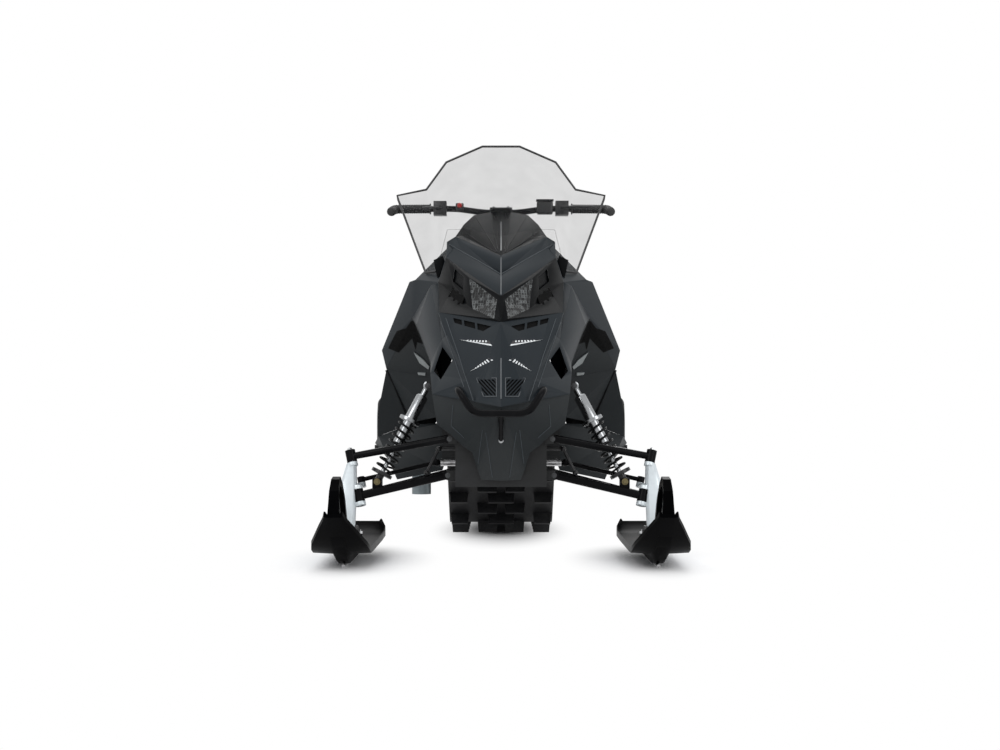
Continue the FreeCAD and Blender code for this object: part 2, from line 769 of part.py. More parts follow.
def tunnel_outline(inset, front_inset, foot):
    return [
        (f"{TUNNEL_FRONT} + {front_inset}", f"Sizes.tunnel_front_bottom - {foot}"),
        (f"{TUNNEL_FRONT} + Sizes.tunnel_sill_length", f"Sizes.tunnel_front_bottom - {foot}"),
        (f"{TUNNEL_REAR} + {foot}", f"Sizes.tunnel_rear_bottom - {foot}"),
        (f"{TUNNEL_REAR} + {foot}", f"Sizes.tunnel_rear_top - {inset}"),
        (TUNNEL_STEP, f"Sizes.tunnel_rear_top - {inset}"),
        (f"{TUNNEL_FRONT} + {front_inset}", f"Sizes.tunnel_front_top - {inset}"),
    ]


tunnel = new_body("tunnel")
outer = polygon_sketch(tunnel, "TunnelSide", "YZ_Plane", tunnel_outline("0", "0", "0"))
pad(tunnel, "TunnelBlock", outer, "Sizes.tunnel_width")
doc.recompute()
THICK = "Sizes.sheet_thickness"
inner = polygon_sketch(
    tunnel, "TunnelInside", "YZ_Plane", tunnel_outline(THICK, THICK, "Sizes.tunnel_width")
)
pocket(tunnel, "TunnelHollow", inner, "Sizes.tunnel_width - 2 * Sizes.sheet_thickness")
doc.recompute()
RACK_X, RACK_Y = "Sizes.rack_hole_across / 2", "Sizes.rack_hole_along / 2"
drill_top(
    tunnel,
    "RackHoles",
    [(a + RACK_X, f"Sizes.rack_hole_middle {b} {RACK_Y}") for a in ("", "-") for b in ("+", "-")],
    "Sizes.rack_hole_radius",
    "Sizes.tunnel_rear_top",
    "4 * Sizes.sheet_thickness",
)
keep_object("tunnel", tunnel)


# Running boards: a punched shelf with a rolled outer edge on either side of the tunnel
BOARD_IN = "Sizes.tunnel_width / 2"
BOARD_OUT = f"({BOARD_IN} + Sizes.board_width)"
BOARD_TOP = "Sizes.board_height"
board = new_body("board")
section = polygon_sketch(
    board,
    "BoardSection",
    "XZ_Plane",
    [
        (BOARD_IN, f"{BOARD_TOP} - Sizes.board_flange"),
        (f"{BOARD_IN} + {THICK}", f"{BOARD_TOP} - Sizes.board_flange"),
        (f"{BOARD_IN} + {THICK}", f"{BOARD_TOP} - {THICK}"),
        (f"{BOARD_OUT} - {THICK}", f"{BOARD_TOP} - {THICK}"),
        (f"{BOARD_OUT} - {THICK}", f"{BOARD_TOP} - Sizes.board_edge_drop"),
        (f"{BOARD_OUT} + Sizes.board_edge_roll", f"{BOARD_TOP} - Sizes.board_edge_drop"),
        (f"{BOARD_OUT} + Sizes.board_edge_roll", f"{BOARD_TOP} + Sizes.board_edge_rise"),
        (f"{BOARD_OUT} - {THICK}", f"{BOARD_TOP} + Sizes.board_edge_rise"),
        (f"{BOARD_OUT} - {THICK}", BOARD_TOP),
        (BOARD_IN, BOARD_TOP),
    ],
)
pad(board, "BoardShelf", section, "Sizes.board_length")
doc.recompute()
slot = board.newObject("Sketcher::SketchObject", "BoardSlot")
slot.AttachmentSupport = (plane_of(board, "XY_Plane"), [""])
slot.MapMode = "FlatFace"
slot.setExpression("AttachmentOffset.Base.z", BOARD_TOP)
SLOT_FIRST = "(Sizes.board_hole_pitch - Sizes.board_length) / 2"
for share in ("Sizes.board_inner_slot_share", "Sizes.board_outer_slot_share"):
    middle = f"({BOARD_IN} + {share} * Sizes.board_width)"
    draw_polygon(
        slot,
        [
            (f"{middle} - Sizes.board_hole_length / 2", f"{SLOT_FIRST} - Sizes.board_hole_width / 2"),
            (f"{middle} + Sizes.board_hole_length / 2", f"{SLOT_FIRST} - Sizes.board_hole_width / 2"),
            (f"{middle} + Sizes.board_hole_length / 2", f"{SLOT_FIRST} + Sizes.board_hole_width / 2"),
            (f"{middle} - Sizes.board_hole_length / 2", f"{SLOT_FIRST} + Sizes.board_hole_width / 2"),
        ],
    )
slots = pocket(board, "BoardSlots", slot, "4 * Sizes.sheet_thickness")
doc.recompute()
row = board.newObject("PartDesign::LinearPattern", "BoardSlotRow")
row.Originals = [slots]
row.Direction = (plane_of(board, "Y_Axis"), [""])
row.setExpression("Length", "(Sizes.board_slot_count - 1) * Sizes.board_hole_pitch")
row.setExpression("Occurrences", "Sizes.board_slot_count")
board.Tip = row
BOARD_MIDDLE = "Sizes.board_front_behind_spindle - Sizes.spindle_station + Sizes.board_length / 2"
board.setExpression("Placement.Base.y", BOARD_MIDDLE)
doc.recompute()


def mirrored_pair(label, source):
    """The drawn piece and its mirror image, as one sub-part."""
    other = doc.addObject("Part::Mirroring", source.Name + "Other")
    other.Source = source
    other.Normal = Vector(1, 0, 0)
    pair = doc.addObject("Part::Compound", source.Name + "Pair")
    pair.Links = [source, other]
    doc.recompute()
    return keep_object(label, pair)


mirrored_pair("running_boards", board)


# Track: one belt loop round the drive sprockets, the curved rail fronts and the rear idlers, with
# rows of lugs that alternate between mid lugs and centre and outer lugs
DRIVE_Y = mm.drive_behind_spindle - mm.spindle_station
IDLER_Y = DRIVE_Y + mm.idler_behind_drive
GROUND_BELT = mm.lug_height + mm.belt_thickness
WHEELS = [
    (DRIVE_Y, mm.drive_height, mm.sprocket_radius),
    (DRIVE_Y + mm.approach_behind_drive, GROUND_BELT + mm.approach_radius, mm.approach_radius),
    (IDLER_Y, GROUND_BELT + mm.idler_radius, mm.idler_radius),
]


def loop_runs(grow):
    """The straight runs and arcs of the loop, going down the front, back along the ground and
    forward over the top, each at a distance outside the wheels."""
    angles = []
    for (y1, z1, r1), (y2, z2, r2) in zip(WHEELS, WHEELS[1:] + WHEELS[:1]):
        span = math.hypot(y2 - y1, z2 - z1)
        heading = math.atan2(z2 - z1, y2 - y1)
        angles.append(heading - math.pi / 2 - math.asin((r2 - r1) / span))
    runs = []
    for i, (y, z, r) in enumerate(WHEELS):
        start, end = angles[i - 1], angles[i]
        while end < start:
            end += 2 * math.pi
        runs.append(("arc", y, z, r + grow, start, end))
        following = WHEELS[(i + 1) % len(WHEELS)]
        direction = (math.cos(end), math.sin(end))
        ends = [
            (cy + direction[0] * (cr + grow), cz + direction[1] * (cr + grow))
            for cy, cz, cr in (WHEELS[i], following)
        ]
        runs.append(("line", ends[0], ends[1], end))
    return runs


def run_length(run):
    if run[0] == "arc":
        return run[3] * (run[5] - run[4])
    return math.dist(run[1], run[2])


def loop_wire(grow, x):
    edges = []
    for run in loop_runs(grow):
        if run[0] == "line":
            (y1, z1), (y2, z2) = run[1], run[2]
            edges.append(Part.LineSegment(Vector(x, y1, z1), Vector(x, y2, z2)).toShape())
            continue
        _, y, z, r, start, end = run
        marks = [start, (start + end) / 2, end]
        bow = [Vector(x, y + r * math.cos(a), z + r * math.sin(a)) for a in marks]
        edges.append(Part.Arc(*bow).toShape())
    return Part.Wire(edges)


def on_loop(distance):
    """The place and outward angle at a distance along the belt's outer face."""
    for run in loop_runs(mm.belt_thickness):
        length = run_length(run)
        if distance > length:
            distance -= length
            continue
        if run[0] == "line":
            share = distance / length
            y = run[1][0] + (run[2][0] - run[1][0]) * share
            z = run[1][1] + (run[2][1] - run[1][1]) * share
            return y, z, run[3]
        angle = run[4] + distance / run[3]
        return run[1] + run[3] * math.cos(angle), run[2] + run[3] * math.sin(angle), angle
    return on_loop(distance - 1e-6)


def lug(x1, x2, place, lean):
    """A paddle across the belt from x1 to x2, thinner and narrower at its tip."""
    y, z, outward = place
    sink = mm.belt_thickness / 2
    rings = []
    for out, half, draw in ((-sink, mm.lug_root / 2, 0), (mm.lug_height, mm.lug_tip / 2, lean)):
        ring = []
        for x, side in ((x1 + draw, -1), (x2 - draw, -1), (x2 - draw, 1), (x1 + draw, 1)):
            ring.append(Vector(x, side * half, out))
        rings.append(ring)
    turn = Placement(Vector(0, y, z), Rotation(Vector(1, 0, 0), math.degrees(outward) - 90))
    low, high = ([turn.multVec(p) for p in ring] for ring in rings)
    sides = [Part.Face(Part.makePolygon(low + low[:1])), Part.Face(Part.makePolygon(high + high[:1]))]
    for i in range(len(low)):
        j = (i + 1) % len(low)
        sides.append(Part.Face(Part.makePolygon([low[i], low[j], high[j], high[i], low[i]])))
    solid = Part.makeSolid(Part.makeShell(sides))
    if solid.Volume < 0:
        solid.reverse()
    return solid


def belt(grow_in, grow_out, width):
    whole = Part.Face(loop_wire(grow_out, -width / 2))
    face = whole.cut(Part.Face(loop_wire(grow_in, -width / 2)))
    return face.extrude(Vector(width, 0, 0))


half_track = mm.track_width / 2
OUTER_LUG = (mm.outer_lug_start_share * half_track, mm.outer_lug_end_share * half_track)
MID_LUG = (mm.mid_lug_start_share * half_track, mm.mid_lug_end_share * half_track)
CENTRE_LUG = mm.centre_lug_share * half_track
loop_length = sum(run_length(run) for run in loop_runs(mm.belt_thickness))
row_count = 2 * round(loop_length / mm.track_pitch / 2)
lugs = []
for row_index in range(row_count):
    place = on_loop(loop_length * row_index / row_count)
    if row_index % 2:
        spans = [MID_LUG, (-MID_LUG[1], -MID_LUG[0])]
    else:
        spans = [OUTER_LUG, (-OUTER_LUG[1], -OUTER_LUG[0]), (-CENTRE_LUG, CENTRE_LUG)]
    lugs += [lug(x1, x2, place, mm.lug_draw) for x1, x2 in spans]
keep("track", belt(0, mm.belt_thickness, mm.track_width).multiFuse(lugs))


def cross_axle(y, z, half_length, radius):
    return rod(Vector(-half_length, y, z), Vector(half_length, y, z), radius)


# Slide rails: two upright plates whose fronts sweep up with the belt
def rail(x):
    """One rail, its lower edge on the belt, its front end cut off square to the sweep."""
    _, y, z, r, _, _ = loop_runs(-mm.fit_gap)[2]
    sweep = math.radians(-90 - mm.rail_sweep_angle)
    half_sweep = math.radians(-90 - mm.rail_sweep_angle / 2)
    down = math.radians(-90)
    rear = IDLER_Y - mm.rail_short_of_idler

    def at(radius, angle):
        return Vector(x, y + radius * math.cos(angle), z + radius * math.sin(angle))

    upper = r - mm.rail_height
    edges = [
        Part.LineSegment(Vector(x, rear, z - r), at(r, down)).toShape(),
        Part.Arc(at(r, down), at(r, half_sweep), at(r, sweep)).toShape(),
        Part.LineSegment(at(r, sweep), at(upper, sweep)).toShape(),
        Part.Arc(at(upper, sweep), at(upper, half_sweep), at(upper, down)).toShape(),
        Part.LineSegment(at(upper, down), Vector(x, rear, z - upper)).toShape(),
        Part.LineSegment(Vector(x, rear, z - upper), Vector(x, rear, z - r)).toShape(),
    ]
    plate = Part.Face(Part.Wire(edges)).extrude(Vector(mm.rail_thickness, 0, 0))
    plate.translate(Vector(-mm.rail_thickness / 2, 0, 0))
    windows = []
    for share in (mm.rail_window_first_share, mm.rail_window_middle_share, mm.rail_window_last_share):
        middle = y + (rear - y) * share
        low = Vector(x - mm.rail_thickness, middle - mm.rail_window_length / 2, z - r + mm.rail_window_foot)
        size = Vector(2 * mm.rail_thickness, mm.rail_window_length, mm.rail_window_height)
        windows.append(block(low, low + size))
    heel_low = Vector(x - mm.rail_thickness / 2, rear - mm.rail_heel_length, z - upper - mm.rail_thickness)
    heel_high = Vector(x + mm.rail_thickness / 2, IDLER_Y + mm.rail_heel_past, z - r + mm.rail_heel_height)
    holes = [
        cross_axle(DRIVE_Y + behind, GROUND_BELT + mm.bogie_radius, mm.track_width / 2, mm.axle_radius + mm.fit_gap)
        for behind in (mm.first_bogie_behind_drive, mm.last_bogie_behind_drive)
    ]
    holes.append(cross_axle(IDLER_Y, GROUND_BELT + mm.idler_radius, mm.track_width / 2, mm.axle_radius + mm.fit_gap))
    return joined([plate, block(heel_low, heel_high)]).cut(windows + holes)


keep("slide_rails", both_sides(rail(mm.rail_spacing / 2)))


# Wheels and axles of the skid
def wheel(x, y, z, radius, width, bore):
    """A rubber-tyred wheel with a dished web and a hub."""
    axis = Vector(1, 0, 0)
    left = Vector(x - width / 2, y, z)
    tyre = Part.makeCylinder(radius, width, left, axis)
    dish_depth = mm.wheel_dish_share * width
    dish = Part.makeCylinder(mm.wheel_dish_radius_share * radius, dish_depth, left, axis)
    dish = dish.cut(Part.makeCylinder(mm.wheel_hub_share * radius, dish_depth, left, axis))
    far = dish.copy()
    far.translate(Vector(width - dish_depth, 0, 0))
    return tyre.cut([dish, far, Part.makeCylinder(bore, width, left, axis)])


idler_z = GROUND_BELT + mm.idler_radius
idler_set = []
for spread in (mm.idler_outer_spread, mm.idler_inner_spread):
    for side in (-1, 1):
        idler_set.append(
            wheel(side * spread / 2, IDLER_Y, idler_z, mm.idler_radius - mm.fit_gap, mm.wheel_width, mm.axle_radius)
        )
idler_axle = cross_axle(IDLER_Y, idler_z, mm.idler_outer_spread / 2 + mm.wheel_width, mm.axle_radius)
keep("idler_wheels", joined([idler_axle] + idler_set))

bogies = []
for behind in (mm.first_bogie_behind_drive, mm.last_bogie_behind_drive):
    y, z = DRIVE_Y + behind, GROUND_BELT + mm.bogie_radius
    pair = [
        wheel(side * mm.bogie_spread / 2, y, z, mm.bogie_radius - mm.fit_gap, mm.wheel_width, mm.axle_radius)
        for side in (-1, 1)
    ]
    axle = cross_axle(y, z, mm.bogie_spread / 2 + mm.wheel_width, mm.axle_radius)
    bogies.append(joined([axle] + pair))
keep("bogie_wheels", Part.makeCompound(bogies))


def sprocket(x):
    """A toothed drive wheel; its teeth stay inside the belt."""
    root = mm.sprocket_radius * mm.sprocket_root_share
    points = []
    for tooth in range(int(mm.sprocket_teeth)):
        for share, radius in ((0, root), (0.2, root), (0.35, mm.sprocket_radius), (0.85, mm.sprocket_radius)):
            angle = 2 * math.pi * (tooth + share) / mm.sprocket_teeth
            reach = radius - mm.fit_gap
            points.append(Vector(x, DRIVE_Y + reach * math.cos(angle), mm.drive_height + reach * math.sin(angle)))
    plate = Part.Face(Part.makePolygon(points + points[:1])).extrude(Vector(mm.wheel_width, 0, 0))
    plate.translate(Vector(-mm.wheel_width / 2, 0, 0))
    return plate


drive_shaft = cross_axle(DRIVE_Y, mm.drive_height, mm.tunnel_width / 2 - mm.fit_gap - mm.sheet_thickness, mm.drive_shaft_radius)
drive = [sprocket(side * share * half_track) for share in (mm.drive_inner_share, mm.drive_outer_share) for side in (-1, 1)]
keep("drive_axle", joined([drive_shaft] + drive))


# Skid arms: a front and a rear swing arm that hang the rails from the tunnel
def skid_arm(top_y, top_z, foot_y, foot_z):
    """Two tubes between a cross tube at the tunnel and a cross tube between the rails."""
    reach = mm.rail_spacing / 2 - mm.rail_thickness / 2 - mm.fit_gap
    high = mm.tunnel_width / 2 - mm.sheet_thickness - mm.fit_gap
    lean_in = mm.arm_spread_share * reach
    bars = [
        cross_axle(top_y, top_z, high, mm.arm_tube_radius),
        cross_axle(foot_y, foot_z, reach, mm.arm_tube_radius),
    ]
    for side in (-1, 1):
        bars.append(
            rod(Vector(side * lean_in, top_y, top_z), Vector(side * lean_in, foot_y, foot_z), mm.arm_tube_radius)
        )
    return joined(bars)


rail_middle_z = GROUND_BELT + mm.rail_height / 2
front_arm_y = DRIVE_Y + mm.front_arm_foot_behind_drive
rear_arm_y = DRIVE_Y + mm.rear_arm_foot_behind_drive
front_arm = skid_arm(front_arm_y - mm.front_arm_reach, mm.front_arm_height, front_arm_y, rail_middle_z)
rear_arm = skid_arm(rear_arm_y - mm.rear_arm_reach, mm.rear_arm_height, rear_arm_y, rail_middle_z)
keep("skid_arms", Part.makeCompound([front_arm, rear_arm]))


# Shock absorbers
def shock(top, foot, across, share, body_radius, rod_radius, eye_radius, eye_length):
    """A body over the upper share of its length, a rod below it and an eye at either end."""
    along = foot - top
    across = across * (eye_length / 2)
    middle = top + along * share
    return joined([
        rod(top - across, top + across, eye_radius),
        rod(foot - across, foot + across, eye_radius),
        rod(top + along * SHOCK_NECK_SHARE, middle, body_radius),
        rod(top, top + along * SHOCK_NECK_SHARE, body_radius * SHOCK_NECK_WIDTH_SHARE),
        rod(middle - along * 0.1, foot, rod_radius),
    ])


def coil(top, foot, first_share, last_share, radius, wire, turns):
    """A spring round the line from top to foot."""
    along = foot - top
    length = along.Length * (last_share - first_share)
    helix = Part.makeHelix(length / turns, length, radius)
    ring = Part.Wire(Part.makeCircle(wire, Vector(radius, 0, 0), Vector(0, 1, 0)))
    spring = Part.Wire(helix.Edges).makePipeShell([ring], True, True)
    turn = Rotation(Vector(0, 0, 1), along)
    spring.Placement = Placement(top + along * first_share, turn)
    return spring


ACROSS = Vector(1, 0, 0)
front_shock_top = Vector(0, front_arm_y - mm.skid_shock_reach, mm.skid_shock_height)
front_shock_foot = Vector(
    0, front_arm_y, rail_middle_z + mm.skid_eye_radius + mm.arm_tube_radius + mm.fit_gap
)
hang = mm.arm_tube_radius + mm.skid_eye_radius + mm.fit_gap
rear_shock_top = Vector(0, rear_arm_y - mm.rear_arm_reach, mm.rear_arm_height - hang)
rear_shock_foot = Vector(0, rear_arm_y - mm.rear_shock_foot_ahead, rail_middle_z)
skid_shocks = []
for top, foot in ((front_shock_top, front_shock_foot), (rear_shock_top, rear_shock_foot)):
    skid_shocks.append(
        shock(
            top, foot, ACROSS, 0.6, mm.skid_shock_radius, mm.shock_rod_radius, mm.skid_eye_radius, mm.shock_eye_length
        )
    )
keep("skid_shocks", Part.makeCompound(skid_shocks))


# Front tub: an open box of plate ahead of the tunnel, with pivot lugs for the arms
def tub():
    front, rear = mm.tub_ahead, -mm.tunnel_front_behind_spindle
    half = mm.tub_half_width
    low = mm.tub_floor
    outline = [
        (front, low), (front, mm.tub_front_top), (0, mm.tub_rear_top),
        (rear, mm.tub_rear_top), (rear, mm.tunnel_front_bottom), (-mm.tub_floor_end, low),
    ]

    def profile(grow, x):
        middle_y = sum(ahead for ahead, _ in outline) / len(outline)
        middle_z = sum(height for _, height in outline) / len(outline)
        corners = []
        for ahead, height in outline:
            a = ahead + grow * math.copysign(1, ahead - middle_y)
            corners.append(spot(x, a, height + grow * math.copysign(1, height - middle_z)))
        return Part.Face(Part.makePolygon(corners + corners[:1]))

    solid = profile(0, -half).extrude(Vector(2 * half, 0, 0))
    wall = mm.tub_wall
    hollow = profile(-wall, -half + wall).extrude(Vector(2 * half - 2 * wall, 0, 0))
    mouth = block(
        spot(-half + wall, 0, mm.tub_rear_top - 2 * wall), spot(half - wall, rear + wall, mm.tub_rear_top + wall)
    )
    rack_bore = rod(
        spot(-2 * half, -mm.rack_behind, mm.rack_height), spot(2 * half, -mm.rack_behind, mm.rack_height),
        mm.rack_radius + mm.running_gap,
    )
    return solid.cut([hollow, mouth, rack_bore])


def pivot_sleeve(x, ahead, height):
    half = mm.pivot_sleeve_length / 2
    return rod(spot(x, ahead - half, height), spot(x, ahead + half, height), mm.pivot_sleeve_radius)


def pivot_lug(x, ahead, height, inward_x):
    """A pair of ears from the tub out to a pivot, one on either end of its sleeve."""
    ears = []
    half = mm.pivot_sleeve_length / 2 + mm.fit_gap
    for near in (half, -half - mm.ear_thickness):
        low = spot(inward_x, ahead + near + mm.ear_thickness, height - mm.pivot_sleeve_radius)
        ears.append(
            block(low, low + Vector(x + mm.pivot_sleeve_radius / 4 - inward_x, mm.ear_thickness, 2 * mm.pivot_sleeve_radius))
        )
    return ears


upper_pivots = [(mm.upper_pivot_x, -mm.upper_pivot_front, mm.upper_pivot_height),
                (mm.upper_pivot_x, -mm.upper_pivot_rear, mm.upper_pivot_height)]
lower_pivots = [(mm.lower_pivot_x, -mm.lower_pivot_front, mm.lower_pivot_height),
                (mm.lower_pivot_x, -mm.lower_pivot_rear, mm.lower_pivot_height)]
ears = []
for x, ahead, height in upper_pivots + lower_pivots:
    for ear in pivot_lug(x, ahead, height, mm.tub_half_width - mm.tub_wall):
        ears += [ear, ear.mirror(Vector(), ACROSS)]

# Engine: one plain block in the tub and over it
engine = doc.addObject("Part::Box", "engine")
engine.setExpression("Length", "Sizes.engine_width")
engine.setExpression("Width", "Sizes.engine_length")
engine.setExpression("Height", "Sizes.engine_height")
engine.setExpression("Placement.Base.x", "-Sizes.engine_width / 2")
engine.setExpression("Placement.Base.y", "Sizes.engine_front_behind_spindle - Sizes.spindle_station")
engine.setExpression("Placement.Base.z", "Sizes.tub_floor + Sizes.tub_wall + Sizes.fit_gap")
doc.recompute()
keep_object("engine", engine)

# Suspension arms: two tubes from the ball joint to the tub, with a plate in the corner
upper_ball = spot(mm.upper_ball_x, -mm.upper_ball_behind, mm.upper_ball_height)
lower_ball = spot(mm.lower_ball_x, 0, mm.lower_ball_height)
kingpin = upper_ball - lower_ball


def knuckle(shape, centre):
    """The round housing at an arm's outer end, bored for the upright's pin."""
    axis = Vector(kingpin)
    axis.normalize()
    low, high = centre - axis * mm.knuckle_half, centre + axis * mm.knuckle_half
    housing = rod(low, high, mm.knuckle_radius)
    bore = rod(low - axis, high + axis, mm.kingpin_radius + mm.fit_gap)
    return shape.fuse(housing).cut(bore)


def gusset(corner, one, two, thickness):
    face = triangle(corner, one, two)
    normal = (one - corner).cross(two - corner)
    normal.normalize()
    plate = face.extrude(normal * thickness)
    plate.translate(normal * (-thickness / 2))
    return plate


def control_arm(outer, pivots, radius, gusset_share):
    shapes = [ball(outer, mm.ball_radius)]
    ends = [spot(*pivot) for pivot in pivots]
    for pivot, end in zip(pivots, ends):
        shapes += [rod(outer, end, radius), pivot_sleeve(*pivot)]
    marks = [outer + (end - outer) * gusset_share for end in ends]
    shapes.append(gusset(outer, marks[0], marks[1], mm.arm_wall * 2))
    brace = [outer + (end - outer) * mm.arm_brace_share for end in ends]
    shapes.append(rod(brace[0], brace[1], radius * mm.arm_brace_radius_share))
    return joined(shapes)


upper_arm = control_arm(upper_ball, upper_pivots, mm.arm_radius, mm.upper_gusset_share)
lower_arm = control_arm(lower_ball, lower_pivots, mm.lower_arm_radius, mm.lower_gusset_share)

shock_top = spot(mm.shock_top_x, -mm.shock_top_behind, mm.shock_top_height)
shock_foot = spot(mm.shock_foot_x, -mm.shock_foot_behind, mm.shock_foot_height)
ALONG = Vector(0, 1, 0)
front_shock = shock(
    shock_top, shock_foot, ALONG, 0.55, mm.shock_body_radius, mm.shock_rod_radius, mm.shock_eye_radius,
    mm.shock_eye_length,
)
seat_ring = [
    rod(
        shock_top + (shock_foot - shock_top) * share,
        shock_top + (shock_foot - shock_top) * (share + mm.shock_ring_share),
        mm.spring_radius + mm.spring_wire_radius,
    )
    for share in (mm.spring_start_share - mm.shock_ring_share, mm.spring_end_share)
]
canister_top = shock_top + (shock_foot - shock_top) * mm.canister_start_share
canister_shift = Vector(-mm.canister_offset, 0, -mm.canister_offset / 2)
canister_axis = (shock_foot - shock_top) * mm.canister_length_share
canister = rod(canister_top + canister_shift, canister_top + canister_shift + canister_axis, mm.canister_radius)
bridge = rod(canister_top + canister_axis * 0.15, canister_top + canister_shift + canister_axis * 0.15, mm.canister_radius / 2)
front_shock = joined([front_shock, canister, bridge] + seat_ring)
spring = coil(
    shock_top, shock_foot, mm.spring_start_share + mm.spring_seat_share, mm.spring_end_share - mm.spring_seat_share,
    mm.spring_radius - mm.spring_wire_radius, mm.spring_wire_radius, mm.spring_turns,
)

# The tub with every ear, the shock towers' ears at its upper corners
shock_ears = pivot_lug(mm.shock_top_x, -mm.shock_top_behind, mm.shock_top_height, mm.tub_half_width - mm.tub_wall)
for ear in shock_ears:
    ears += [ear, ear.mirror(Vector(), ACROSS)]
keep("front_tub", joined([tub()] + ears))
keep("upper_arms", both_sides(knuckle(upper_arm, upper_ball)))
keep("shocks", both_sides(front_shock))
keep("shock_springs", both_sides(spring))

# Ears on the lower arm that take the shock's foot
arm_top = mm.shock_foot_height
low_ears = []
for near in (mm.shock_eye_length / 2 + mm.fit_gap, -mm.shock_eye_length / 2 - mm.fit_gap - mm.ear_thickness):
    low = spot(
        mm.shock_foot_x - mm.shock_eye_radius, -mm.shock_foot_behind + near + mm.ear_thickness,
        arm_top - mm.shock_eye_radius - mm.lower_arm_radius,
    )
    low_ears.append(
        block(low, low + Vector(2 * mm.shock_eye_radius, mm.ear_thickness, mm.shock_eye_radius * 1.7 + mm.lower_arm_radius))
    )
keep("lower_arms", both_sides(knuckle(joined([lower_arm] + low_ears), lower_ball)))

# Frame tubes from the tub up to the steering post's foot and on to the tunnel's shoulders
post_axis = Vector(0, math.sin(math.radians(mm.post_tilt)), math.cos(math.radians(mm.post_tilt)))
bar_centre = spot(0, -mm.bar_behind, mm.bar_height)


def on_post(height):
    return bar_centre + post_axis * ((height - bar_centre.z) / post_axis.z)


post_foot = on_post(mm.post_foot_height)
socket_foot = post_foot - post_axis * mm.socket_depth
frame_shapes = [rod(socket_foot, post_foot - post_axis * mm.fit_gap, mm.socket_radius)]
foot_z = mm.tub_rear_top + mm.frame_tube_radius + mm.fit_gap
for side in (-1, 1):
    shoulder = spot(side * mm.frame_foot_x, -mm.tunnel_front_behind_spindle + mm.frame_foot_inset, foot_z)
    front_corner = spot(side * mm.frame_foot_x, -mm.frame_front_behind, foot_z)
    frame_shapes += [rod(shoulder, socket_foot, mm.frame_tube_radius), rod(front_corner, socket_foot, mm.frame_tube_radius)]
    frame_shapes += [ball(shoulder, mm.frame_tube_radius), ball(front_corner, mm.frame_tube_radius)]
keep("frame_tubes", joined(frame_shapes))

# Sway bar: a torsion bar in the tub's sides with a lever and a link down to each lower arm
link_x, link_behind = mm.link_top_x, mm.link_behind
bar_end = spot(link_x, -mm.sway_bar_behind, mm.link_top_height)
link_top = spot(link_x, -link_behind, mm.link_top_height)
link_foot = spot(mm.link_foot_x, -link_behind, mm.link_foot_height)
inner_end = spot(mm.tub_half_width + mm.fit_gap, -mm.sway_bar_behind, mm.link_top_height)
sway = joined([
    rod(inner_end, bar_end, mm.sway_radius), rod(bar_end, link_top, mm.sway_radius),
    ball(bar_end, mm.sway_radius), ball(link_top, mm.link_eye_radius),
    rod(link_top, link_foot, mm.link_radius), ball(link_foot, mm.link_eye_radius),
])
keep("sway_bar", both_sides(sway))


# Spindles: a tapered upright outboard of the ball joints, forked above and below the lower one
def ring_at(height, x1, x2, ahead1, ahead2, corner):
    """An eight-cornered outline at a height."""
    pts = [
        (x1 + corner, ahead1), (x2 - corner, ahead1), (x2, ahead1 + corner), (x2, ahead2 - corner),
        (x2 - corner, ahead2), (x1 + corner, ahead2), (x1, ahead2 - corner), (x1, ahead1 + corner),
    ]
    return [spot(x, ahead, height) for x, ahead in pts]


def ruled_loft(rings):
    wires = [Part.makePolygon(ring + ring[:1]) for ring in rings]
    return Part.makeLoft(wires, True, True)


def spindle():
    half = mm.spindle_width / 2
    middle = mm.ski_stance / 2 + mm.spindle_outset
    depth = mm.spindle_depth / 2
    rings = []
    for height, inner_share, outer_share, shift, deep in (
        (mm.ski_bolt_height - mm.spindle_foot_drop, 0.8, 0.8, mm.ski_bolt_ahead, 0.9),
        (mm.ski_bolt_height + mm.spindle_foot_drop, 0.9, 0.9, mm.ski_bolt_ahead, 0.9),
        (mm.lower_ball_height, 1, 1, 0, 0.8),
        (mm.lower_ball_height + mm.spindle_foot_drop * 1.6, 1, 1, -mm.spindle_lean, 0.8),
        (mm.upper_ball_height - mm.knuckle_half - mm.fit_gap * 8, 0.9, 0.3, -mm.upper_ball_behind, 0.6),
    ):
        rings.append(
            ring_at(
                height, middle - half * inner_share, middle + half * outer_share,
                shift - depth * deep, shift + depth * deep, mm.spindle_corner,
            )
        )
    upright = ruled_loft(rings)
    axis = Vector(kingpin)
    axis.normalize()
    reach = mm.knuckle_half + mm.fit_gap
    forks = [rod(lower_ball + axis * reach * side, lower_ball + axis * (reach + mm.fork_thickness) * side, mm.knuckle_radius)
             for side in (-1, 1)]
    cap = rod(upper_ball - axis * (reach + mm.fork_thickness), upper_ball - axis * reach, mm.knuckle_radius)
    bridges = [gusset_block(fork, middle) for fork in forks + [cap]]
    whole = joined([upright] + forks + [cap] + bridges)
    cuts = [
        rod(lower_ball - axis * reach, lower_ball + axis * reach, mm.knuckle_radius + mm.running_gap),
        rod(upper_ball - axis * reach, upper_ball + axis * (reach * 2), mm.knuckle_radius + mm.running_gap),
    ]
    pins = [
        rod(lower_ball - axis * (reach + mm.fork_thickness), lower_ball + axis * (reach + mm.fork_thickness), mm.kingpin_radius),
        rod(upper_ball - axis * (reach + mm.fork_thickness), upper_ball + axis * mm.knuckle_half, mm.kingpin_radius),
    ]
    return whole.cut(cuts).fuse(pins + steering_arm(axis, middle)).removeSplitter()


